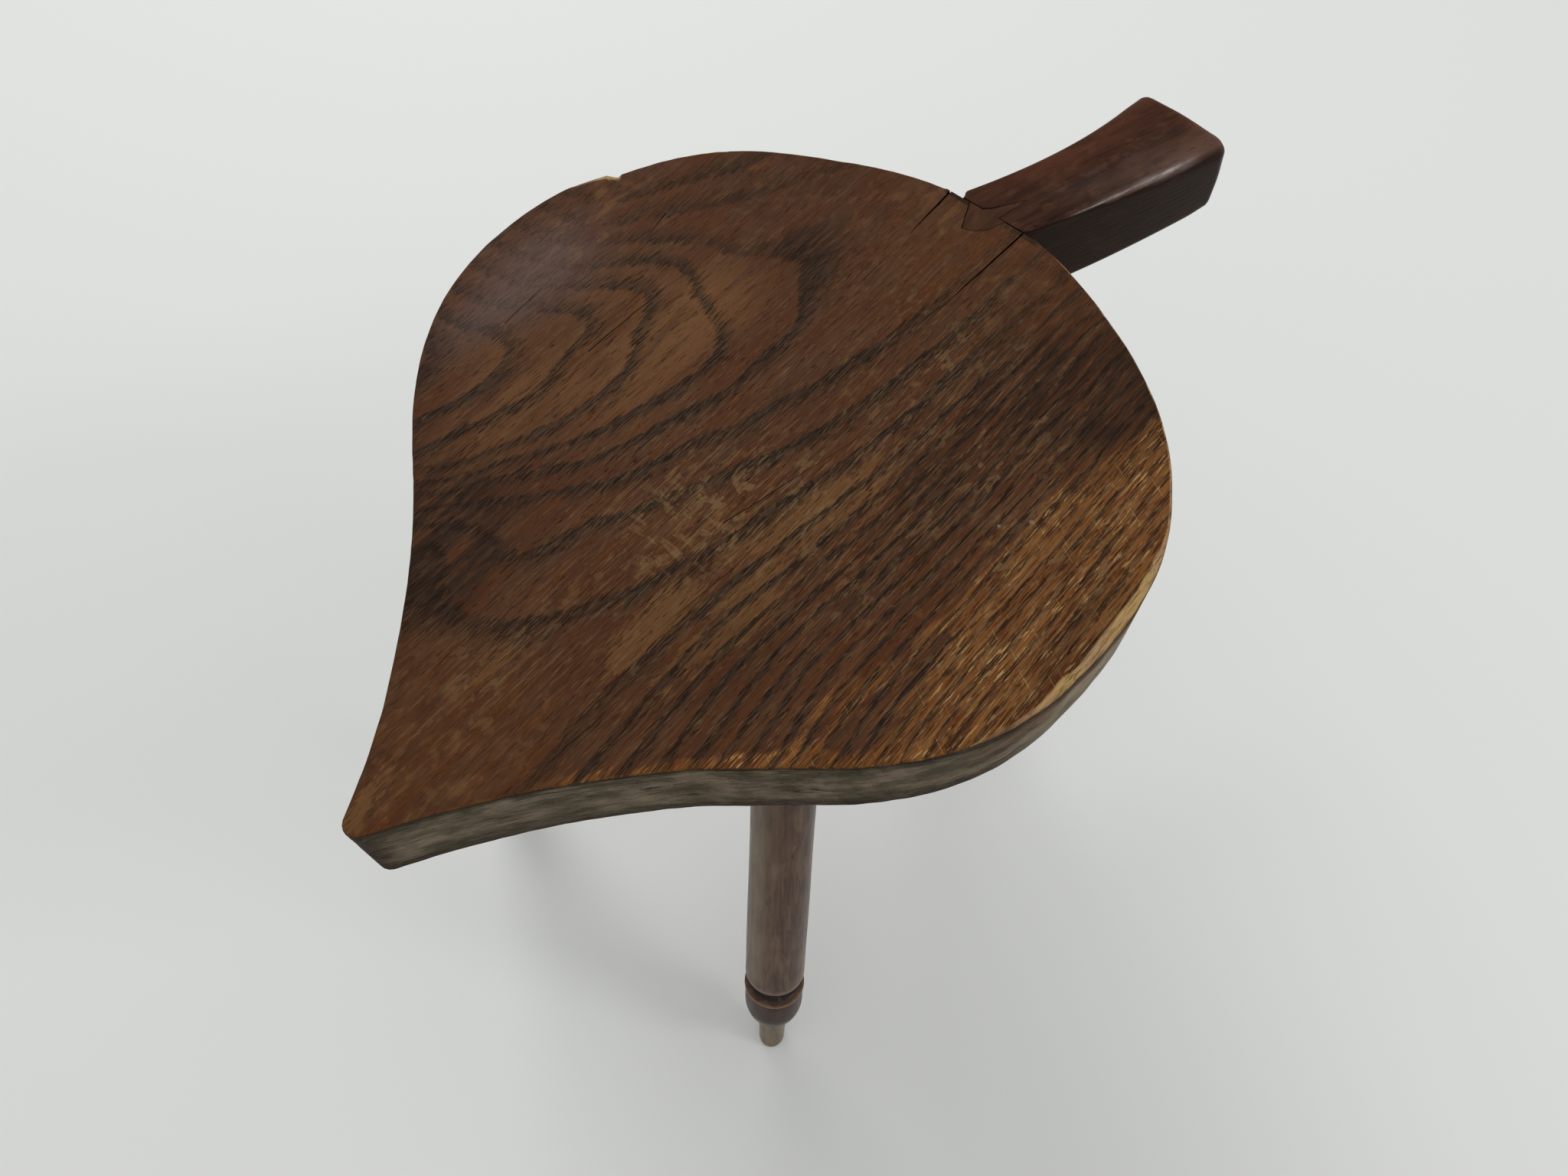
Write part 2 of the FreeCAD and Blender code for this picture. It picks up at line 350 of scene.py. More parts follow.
# The growth lines that show on the seat: the year's number, and places (a, b) along the line
growthLines = [
    (1.0, [(139, -117), (153, -113), (167, -111), (180, -112), (190, -119), (188, -132), (182, -143)]),
    (2.0, [(127, -106), (145, -102), (162, -96), (184, -91), (200, -94), (215, -96), (223, -102),
           (214, -118), (203, -136)]),
    (3.0, [(133, -89), (150, -81), (163, -76), (180, -71), (200, -68), (214, -69), (230, -79), (243, -84),
           (251, -90), (245, -101), (236, -112), (222, -130)]),
    (4.0, [(137, -78), (150, -72), (163, -65), (180, -57), (200, -50), (225, -45), (246, -45), (256, -52),
           (261, -66), (267, -78), (272, -89), (264, -103), (250, -115), (236, -133)]),
    (5.0, [(136, -74), (148, -66), (162, -54), (180, -44), (200, -38), (225, -31), (256, -28),
           (281, -28), (298, -40), (311, -50), (304, -63), (293, -80), (289, -93), (276, -107),
           (262, -124), (246, -148)]),
    (5.5, [(240, -19), (270, -13), (300, -12), (330, -11), (362, -11), (389, -13), (386, -26), (366, -49),
           (341, -62), (322, -82), (300, -98), (278, -118)]),
    (6.0, [(134, -60), (150, -48), (163, -38), (180, -28), (210, -19), (225, -12), (240, -8), (270, 1),
           (300, 7), (330, 11), (360, 13), (389, 14)]),
    (7.0, [(119, -37), (131, -31), (150, -25), (180, -10), (210, 3), (240, 15), (270, 21), (300, 25),
           (330, 28), (360, 29), (384, 31)]),
    (8.0, [(101, -68), (90, -50), (88, -36), (96, -20), (108, -9), (122, -1), (150, 13), (180, 22),
           (210, 28), (240, 33), (270, 38), (300, 40), (330, 43), (382, 45)]),
    (9.0, [(56, 34), (85, 32), (120, 32), (150, 34), (180, 38), (210, 43), (240, 48), (270, 51), (300, 53),
           (330, 56), (360, 56), (380, 57)]),
    (12.0, [(96, 67), (120, 64), (150, 62), (180, 64), (210, 67), (240, 69), (270, 71), (300, 72), (330, 73),
            (360, 73)]),
    (16.0, [(128, 96), (150, 92), (180, 91), (210, 93), (240, 95), (270, 95), (300, 95), (330, 97),
            (352, 97)]),
    (20.0, [(160, 119), (180, 118), (210, 118), (240, 119), (270, 120), (300, 120), (330, 119)]),
    (25.0, [(184, 149), (240, 149), (280, 147), (310, 146)]),
    (8.3, [(8, -2), (30, -6), (60, -20)]),
    (7.2, [(340, -112), (310, -128), (280, -146)]),
    (6.3, [(376, -78), (350, -90), (320, -104), (300, -117), (270, -138)]),
    (0.2, [(165, -132), (172, -142)]),
]

# Where wear, tone and a painted sheen lie: (a, b), half length along a, half width along b, strength.
# The first four go into the attribute wear, and the others, the painted sheen among them, into tone.
seatZones = {
    "orange": [(238, 145, 116, 36, 0.95), (322, 134, 30, 16, 0.6), (18, 2, 20, 10, 0.25),
               (150, 103, 34, 8, 0.4)],
    "rubbed": [(206, 42, 38, 12, 0.75), (238, 50, 34, 16, 0.45), (250, 132, 80, 26, 0.25),
               (325, 22, 50, 22, 0.15),
               (215, -60, 45, 22, 0.35), (136, 26, 30, 9, 0.8), (30, -6, 22, 12, 0.3), (180, 6, 26, 14, 0.5),
               (128, 50, 26, 7, 0.7), (160, 56, 26, 6, 0.8), (84, -9, 16, 8, 0.5),
               (116, 26, 30, 8, 0.5), (190, 28, 30, 8, 0.6), (158, 44, 40, 8, 0.5), (8, 0, 13, 12, 0.7)],
    "scuff": [(187, 5, 42, 34, 1.0), (240, 138, 75, 28, 0.9), (60, -4, 40, 30, 0.4), (235, 60, 80, 40, 0.8),
              (320, 30, 50, 56, 0.45), (110, 10, 40, 40, 0.4), (300, 84, 40, 30, 0.5)],
    "dull": [(103, -64, 34, 24, 1.0), (120, -85, 22, 26, 0.5), (350, -90, 50, 55, 0.35),
             (352, 84, 44, 50, 0.5),
             (75, -62, 40, 12, 0.4), (328, 92, 34, 22, 0.9), (322, -52, 17, 12, 1.0), (92, -44, 24, 16, 0.6),
             (140, 60, 40, 20, 0.3), (318, 66, 26, 14, 0.7), (262, 70, 46, 14, 0.8), (345, 118, 34, 20, 0.5),
             (228, 158, 26, 9, 0.7), (252, 152, 22, 9, 0.4)],
    "calm": [(252, -142, 62, 28, 1.0), (112, -70, 20, 44, 0.3), (335, -84, 60, 44, 0.7),
             (30, 0, 56, 60, 0.9), (376, 0, 40, 60, 0.75), (350, 70, 50, 60, 0.25)],
    "paintedSheen": [(228, -138, 38, 22, 0.9), (190, -138, 26, 12, 0.4)],
    "golden": [(222, -66, 46, 26, 0.9), (165, -92, 34, 18, 0.8), (270, -66, 26, 22, 0.7),
               (180, -118, 20, 12, 0.5), (236, -104, 40, 14, 0.5)],
}


def growthField(places):
    # Thin-plate spline through the growth lines: the year's number at each place, and how fast it
    # changes along a and along b
    knots = np.array([p for _, line in growthLines for p in line], float)
    years = np.array([year for year, line in growthLines for _ in line])
    unit = 100.0
    knots, spots = knots / unit, places / unit
    far = np.square(knots[:, None] - knots).sum(-1)
    bend = 0.5 * far * np.log(far + 1e-12) + 0.002 * np.eye(len(knots))
    flat = np.column_stack([np.ones(len(knots)), knots])
    system = np.block([[bend, flat], [flat.T, np.zeros((3, 3))]])
    weight = np.linalg.solve(system, np.concatenate([years, np.zeros(3)]))
    result = np.empty((len(spots), 3))
    for part in np.array_split(np.arange(len(spots)), 20):
        step = spots[part, None] - knots
        far = np.square(step).sum(-1) + 1e-12
        slope = (np.log(far) + 1) * weight[:-3]
        result[part, 0] = 0.5 * far * np.log(far) @ weight[:-3] + weight[-3] + spots[part] @ weight[-2:]
        result[part, 1:] = ((slope[:, :, None] * step).sum(1) + weight[-2:]) / unit
    return result


def zoneMask(name, places):
    # Sum of soft ovals
    total = np.zeros(len(places))
    for a, b, length, width, strength in seatZones[name]:
        off = np.square((places[:, 0] - a) / length) + np.square((places[:, 1] - b) / width)
        total += strength * np.exp(-np.power(off, 1.4))
    return np.clip(total, 0, 1)


def halfOutline():
    # One side of the leaf in plan, from the rounded tip to the joint, as (a, distance from the axis).
    # The hollow is an arc of a circle from the tip to the waist, and the rest is an ellipse.
    waist = math.radians(seat["waistAngle"])
    middle, length = seat["tipToLobe"], seat["lobeHalfLength"]
    end = np.array([middle - length * math.cos(waist), halfWidth * math.sin(waist)])
    heading = math.atan2(halfWidth * math.cos(waist), length * math.sin(waist))
    chord = math.atan2(end[1], end[0])
    first = 2 * chord - heading
    radius = np.linalg.norm(end) / (2 * math.sin(heading - chord))
    turn = np.linspace(first, heading, 600)
    hollow = np.column_stack([np.sin(turn) - math.sin(first), math.cos(first) - np.cos(turn)]) * radius
    tip = np.linspace(math.pi, math.pi / 2 + first, 40)
    tipRound = seat["tipRound"]
    nose = np.column_stack([1 / math.sin(first) + np.cos(tip), np.sin(tip)]) * tipRound
    hollow = hollow[hollow[:, 0] > nose[-1, 0] + tipRound / 2]
    last = math.acos(-(jointX - tipX - middle) / length)
    angle = np.linspace(waist, last, 1200)[1:]
    lobe = np.column_stack([middle - length * np.cos(angle), halfWidth * np.sin(angle)])
    line = np.vstack([nose, hollow, lobe])
    along = np.concatenate([[0], np.cumsum(np.linalg.norm(np.diff(line, axis=0), axis=1))])
    stops = along[-1] * np.linspace(0, 1, seat["sideSteps"] + 1) ** 1.15
    return np.column_stack([np.interp(stops, along, line[:, 0]), np.interp(stops, along, line[:, 1])])


def seatOutline():
    # The whole outline, from the tip along the -Y side, over the joint and back, with its
    # outward direction in plan
    side = halfOutline()
    near = np.column_stack([tipX + side[:, 0], -side[:, 1]])
    across = np.linspace(near[-1, 1], -near[-1, 1], seat["acrossSteps"] + 1)[1:-1]
    joint = np.column_stack([np.full(len(across), jointX), across])
    line = np.vstack([near, joint, near[::-1] * (1, -1)])
    step = np.roll(line[:-1], -1, 0) - np.roll(line[:-1], 1, 0)
    step /= np.linalg.norm(step, axis=1, keepdims=True)
    outward = np.column_stack([step[:, 1], -step[:, 0]])
    outward = np.vstack([outward, outward[:1]])
    onJoint = line[:, 0] > jointX - 0.001
    flat = np.column_stack([line, np.zeros(len(line))])
    shift = seat["waver"] * waves(flat, 70.0, 3) + 0.5 * seat["waver"] * waves(flat, 14.0, 4)
    a = line[:, 0] - tipX
    sawn = [np.interp(a, *np.array(seat[side]).T) for side in ("sawnNear", "sawnFar")]
    share = ramp(line[:, 1], -3.0, 3.0)
    sawn = sawn[0] * (1 - share) + sawn[1] * share
    return line + outward * np.where(onJoint, 0, sawn - np.abs(shift))[:, None], outward


def wornEdges(line):
    # How wide and how deep the upper edge is worn away at each place of the outline
    a, nearSide = line[:, 0] - tipX, line[:, 1] < 0
    rough = np.column_stack([line, np.zeros(len(line))])
    bite = 0.5 * np.clip(waves(rough, 11.0, 8) - 0.9, 0, 2) + 0.12 * np.clip(waves(rough, 4.5, 9), 0, 2)
    onJoint = line[:, 0] > jointX - 0.5
    bevel = np.interp(a, *np.array(seat["wornEdge"]).T) * nearSide * (1 + 0.14 * waves(rough, 13.0, 10))
    worn = np.clip(bevel / 1.5, 0, 1)
    chip = span(a, *seat["chip"]) * ~nearSide * np.clip((a - 270) / 26, 0, 1)
    width = seat["arris"] * (1 + 0.5 * bite) + bevel + seat["chipWidth"] * chip
    drop = seat["arris"] * (1 + 0.6 * bite) + seat["wornEdgeSlope"] * bevel + seat["chipDrop"] * chip
    return np.where(onJoint, 0.15, width), np.where(onJoint, 0.15, drop), worn, chip


def seatSheets():
    # The rim goes round the outline and down its section; the top and the underside are spanned
    # straight across between its two sides
    line, outward = seatOutline()
    width, drop, worn, chip = wornEdges(line)
    share = np.linspace(0, 1, seat["edgeSteps"] + 1)[:, None]
    turn, flat = share * math.pi / 2, 0.85 * np.clip(worn + chip, 0, 1)
    inward = (1 - np.sin(turn)) * (1 - flat) + (1 - share) * flat
    below = (1 - np.cos(turn)) * (1 - flat) + share * flat
    rows = [(width * inward, topZ - drop * below)]
    foot = seat["footArris"]
    share = np.linspace(0, 1, seat["wallSteps"] + 1)[1:, None]
    wallZ = (topZ - drop) * (1 - share) + (underZ + foot) * share
    rows.append((np.zeros_like(wallZ), wallZ))
    turn = np.linspace(0, math.pi / 2, seat["footSteps"] + 1)[1:, None]
    rows.append((foot * (1 - np.cos(turn)) + 0 * width, underZ + foot * (1 - np.sin(turn)) + 0 * width))
    inset = np.concatenate([r[0] for r in rows])
    height = np.concatenate([r[1] for r in rows])
    plan = line - outward * inset[:, :, None]
    rim = np.concatenate([plan, height[:, :, None]], 2)
    hollow = np.clip(1 - np.abs(2 * (height - underZ) / (topZ - underZ) - 1), 0, 1)
    onJoint = line[:, 0] > jointX - 0.5
    dents = 0.28 * np.clip(waves(rim * (1, 1, 1.5), 19.0, 12), 0, 2) * hollow * ~onJoint
    rim[:, :, :2] -= outward * dents[:, :, None]
    rim[:, -1] = rim[:, 0]
    spans = []
    for edge, sign in ((rim[0], -1), (rim[-1], 0)):
        steps = seat["sideSteps"]
        share = np.linspace(0, 1, seat["acrossSteps"] + 1)[:, None]
        near, far = edge[:steps + 1, None], edge[::-1][:steps + 1, None]
        sheet = near * (1 - share) + far * share
        sheet[-1] = edge[steps:steps + seat["acrossSteps"] + 1]
        inner = ramp(np.minimum(share, 1 - share)[:, 0] * (near - far)[:, :, 1] * -1, 2.0, 30.0)
        calm = ramp(jointX - sheet[:, :, 0], 22.0, 60.0)
        bowl = 0.55 + 0.3 * waves(sheet[:, :, :2], 160.0, 21) + 0.12 * waves(sheet[:, :, :2], 38.0, 22)
        bowl = seat["dish"] * bowl
        sheet[:, :, 2] += sign * np.clip(bowl, 0, 3) * inner * calm
        spans.append(sheet)
    return [rim] + spans


# Cracks and checks: from and to as (a, b), the width at the first end, and the depth
cracks = [
    ((394, -23.4), (355, -21.2), 1.0, 8.0),
    ((394, 19.0), (320, 16.2), 0.9, 8.0),
    ((211, -87.4), (268, -86.0), 0.6, 3.0),
    ((293, -117.5), (275, -113.5), 0.6, 2.5),
    ((198, -127.0), (231, -129.5), 0.4, 2.0),
    ((184, 17.0), (272, 37.0), 0.4, 2.0),
    ((171, 34.0), (133, 30.0), 0.4, 2.0),
    ((320, -20.5), (352, -21.4), 0.35, 2.0),
]


def crackLine(index):
    # A thin line that wavers a little, and its half width, which runs out towards the far end
    start, end, width, depth = cracks[index]
    share = np.linspace(0, 1, 16)
    line = np.outer(1 - share, start) + np.outer(share, end)
    line[:, 1] += 0.12 * waves(np.column_stack([line[:, 0], 0 * share]), 26.0, 40 + index)
    both = ramp(share, -0.6, 0.12) if start[0] < jointX - tipX else 1.0
    return line, width / 2 * both * (1 - 0.6 * share - 0.4 * share ** 6) + 0.03, depth


def crackBlade(index):
    # A wedge that narrows downwards to nothing, pinched shut at both ends
    line, half, depth = crackLine(index)
    x, y = tipX + line[:, 0], -line[:, 1]
    fall = np.minimum(depth, 6 * half + 0.6)
    rise = 2.0
    wide = half * (fall + rise) / fall
    low = np.column_stack([x, y, topZ - fall])
    left = np.column_stack([x, y + wide, np.full(len(x), topZ + rise)])
    right = np.column_stack([x, y - wide, np.full(len(x), topZ + rise)])
    body = np.stack([low, left, right, low], 1)
    ends = [np.repeat(part.mean(0, keepdims=True), 4, 0)[None] for part in (body[0], body[-1])]
    return np.concatenate([ends[0], body, ends[1]])


# Joint between seat and stem: the sizes that its pieces share
joint = {
    "openings": [(-25.5, -12.4), (8.6, 25.5)],      # where the joint has opened, across
    "openWidth": 0.9,
    "openDepth": 4.0,
    "tenonWidth": 33.0,
    "tenonThickness": 15.0,
    "tenonLength": 58.0,
    "keyDepth": 9.0,
    "keyLength": 34.0,
    "keyWidth": 20.0,
    "keyGap": 0.3,
    "pegRadius": 4.0,
    "tenonRoot": 4.0,           # how far the tenon runs into the stem
    "clearance": 0.15,
    "overrun": 6.0,             # how far a cutting shape runs past what it cuts
}
keyShares = np.array([(0.0, 0.60), (-0.47, 0.25), (-0.40, -0.04), (-0.27, -0.25), (0.0, -0.40), (0.0, -0.22),
                      (0.27, -0.31), (0.53, -0.40), (0.12, 0.04), (0.0, 0.25)])


def keyOutline(gap):
    # The key's corners, moved outwards by the gap along the bisector of each corner
    line = keyShares * (joint["keyLength"], joint["keyWidth"]) + (jointX, 0.0)
    after, before = np.roll(line, -1, 0) - line, line - np.roll(line, 1, 0)
    sides = [s / np.linalg.norm(s, axis=1, keepdims=True) for s in (before, after)]
    normals = [np.column_stack([s[:, 1], -s[:, 0]]) for s in sides]
    bisector = normals[0] + normals[1]
    bisector /= np.maximum((bisector * normals[0]).sum(1, keepdims=True), 0.6)
    return line + gap * bisector


def keyPocket():
    # The recess for the key, in the seat and in the stem
    floor = topZ - joint["keyDepth"] - joint["clearance"]
    return prism(keyOutline(joint["keyGap"]), floor, topZ + joint["overrun"] / 2)


def openingSheets():
    # Thin wedges along the joint between seat and stem
    sheets = []
    for start, end in joint["openings"]:
        half = joint["openWidth"] / 2
        section = [(-half * 1.5, 2.0), (half * 1.5, 2.0), (0.0, -joint["openDepth"]), (-half * 1.5, 2.0)]
        rows = [[(jointX + x, -b, topZ + z) for x, z in section] for b in (start, end)]
        middles = [[row[2]] * 4 for row in rows]
        sheets.append(np.array([middles[0], rows[0], rows[1], middles[1]]))
    return sheets


def tenonSheets(clearance, overrun):
    width = joint["tenonWidth"] / 2 + clearance
    half = joint["tenonThickness"] / 2 + clearance
    start, end = jointX - joint["tenonLength"] - clearance, jointX + overrun
    corners = np.array([(start, -width), (end, -width), (end, width), (start, width)])
    middle = (topZ + underZ) / 2
    return [prism(corners, middle - half, middle + half)]


def pegSheets(clearance):
    sheets = []
    for name in ("rear_stem_peg", "front_stem_peg"):
        low, high = (np.array(corner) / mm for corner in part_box(name))
        middle = (low + high) / 2
        start = np.array([middle[0], middle[1], underZ - 5.0])
        end = np.array([middle[0], middle[1], high[2]])
        sheets.append(pipe(start, end, joint["pegRadius"] + clearance, 28))
    return sheets


# Legs: where they stand, how they lean and their turned profile
leg = {
    "splay": 17.4,
    "places": {"front_right": (-0.49, -0.384, -147.0), "front_left": (-0.49, 0.384, 147.0),
               "rear": (0.38, 0.0, 0.0)},
    "around": 56,
    "footRadius": 7.6,
    "footTopRadius": 8.3,
    "footRound": 2.4,
    "bulbStart": 25.0,
    "bulbShoulder": 52.0,
    "bulbRadius": 16.8,
    "beadStart": 69.0,
    "beadProud": 0.6,
    "coveStart": 72.0,
    "coveDepth": 4.1,
    "shaftStart": 84.0,
    "shaftRadius": 16.9,
    "shaftTopRadius": 15.2,
    "tenonRadius": 11.0,
    "tenonDepth": 31.0,
    "tenonGap": 1.2,
    "highlightSide": (-40.0, 21.0),        # degrees round the leg from its outer side, where a painted highlight runs: where, how wide
    "stainedSide": (55.0, 10.0),
}


class Stand:
    # A leg's own frame: its foot on the floor, the way it leans, and two directions across it
    def __init__(self, name):
        along, across, bearing = leg["places"][name]
        splay, bearing = math.radians(leg["splay"]), math.radians(bearing)
        outward = np.array([math.cos(bearing), math.sin(bearing), 0.0])
        up = np.array([0.0, 0.0, 1.0])
        top = np.array([tipX + seat["tipToLobe"] + along * seat["lobeHalfLength"], across * halfWidth, 0.0])
        self.slope = math.tan(splay)
        self.foot = top + outward * underZ * self.slope
        self.lean = up * math.cos(splay) - outward * math.sin(splay)
        self.side = outward * math.cos(splay) + up * math.sin(splay)
        self.front = np.cross(self.lean, self.side)
        self.length = underZ / math.cos(splay)

    def local(self, points):
        off = points - self.foot
        return np.column_stack([off @ self.lean, off @ self.side, off @ self.front])


def legProfile(length):
    # Heights and radii from the middle of the foot to the top of the tenon
    turn = np.linspace(0, math.pi / 2, 12)
    full = np.linspace(0, math.pi, 13)
    foot = np.linspace(0, 1, 8)[:, None] * (leg["bulbStart"] - leg["footRound"],
                                            leg["footTopRadius"] - leg["footRadius"])
    swell = np.linspace(0, 1, 22)[1:]
    bulb = leg["footTopRadius"] + (leg["bulbRadius"] - leg["footTopRadius"]) * (
        0.5 - 0.5 * np.cos(math.pi * swell)) ** 0.72
    bead = leg["coveStart"] - leg["beadStart"]
    cove = leg["shaftStart"] - leg["coveStart"]
    lip = leg["shaftRadius"] - 0.8
    shaft = np.linspace(leg["shaftStart"] + 0.8, length, 60)
    taper = np.interp(shaft, [leg["shaftStart"], length], [leg["shaftRadius"], leg["shaftTopRadius"]])
    end = length + leg["tenonDepth"] - leg["tenonGap"]
    parts = [
        [(0.0, 0.0), (0.0, leg["footRadius"] * 0.35)],
        np.column_stack([leg["footRound"] * (1 - np.cos(turn)),
                         leg["footRadius"] - leg["footRound"] * (1 - np.sin(turn))]),
        foot[1:] + (leg["footRound"], leg["footRadius"]),
        np.column_stack([leg["bulbStart"] + (leg["bulbShoulder"] - leg["bulbStart"]) * swell, bulb]),
        [(leg["bulbShoulder"] + 3, leg["bulbRadius"] + 0.1), (leg["beadStart"] - 3, leg["bulbRadius"]),
         (leg["beadStart"] - 0.9, leg["bulbRadius"] - 0.1),
         (leg["beadStart"] - 0.3, leg["bulbRadius"] - 0.6)],
        np.column_stack([leg["beadStart"] + bead / 2 * (1 - np.cos(full)),
                         leg["bulbRadius"] - 0.3 + (leg["beadProud"] + 0.3) * np.sin(full)]),
        np.column_stack([leg["coveStart"] + 0.3 + (cove - 0.6) / 2 * (1 - np.cos(full)),
                         leg["bulbRadius"] - 0.8 - (leg["coveDepth"] - 0.4) * np.sin(full)]),
        [(leg["shaftStart"], lip), (leg["shaftStart"] + 0.25, lip + 0.55)],
        np.column_stack([shaft, taper]),
        [(length, leg["tenonRadius"] + 2), (length, leg["tenonRadius"]), (length + 4, leg["tenonRadius"]),
         (length + 15, leg["tenonRadius"]), (end - 1, leg["tenonRadius"]), (end, leg["tenonRadius"] - 1),
         (end, 0.0)],
    ]
    return np.vstack([np.array(p) for p in parts])


def legSheet(stand, seed):
    # The profile turned about the leg's axis; the foot is cut by the floor and the shoulder by the
    # seat's underside, so there a point slides along the leg to that plane
    profile = legProfile(stand.length)
    height, radius = profile[:, :1], profile[:, 1:]
    turn = np.linspace(0, 2 * math.pi, leg["around"] + 1)
    spots = np.stack([height + 0 * turn, radius * np.cos(turn), radius * np.sin(turn)], 2)
    onShaft = span(height, leg["shaftStart"] + 4, stand.length - 25, 6.0)
    uneven = 0.0035 * waves(spots, 120.0, seed) + 0.0015 * waves(spots, 19.0, seed + 1)
    spots[:, :, 1:] *= 1 + (uneven * (onShaft + 0.2))[:, :, None]
    spots[:, -1] = spots[:, 0]
    low = 1 - ramp(height, 1.0, leg["bulbStart"])
    high = ramp(height, stand.length - 60, stand.length)
    high = high * (1 - ramp(height, stand.length + 3, stand.length + 14))
    slide = -spots[:, :, 1] * stand.slope * (low + high)
    along = spots[:, :, 0] + slide
    return (stand.foot + along[:, :, None] * stand.lean + spots[:, :, 1:2] * stand.side
            + spots[:, :, 2:] * stand.front)


def mortiseSheets(clearance):
    sheets = []
    for name in leg["places"]:
        stand = Stand(name)
        start = stand.foot + stand.lean * (stand.length - 12)
        end = stand.foot + stand.lean * (stand.length + leg["tenonDepth"])
        sheets.append(pipe(start, end, leg["tenonRadius"] + clearance, 36))
    return sheets


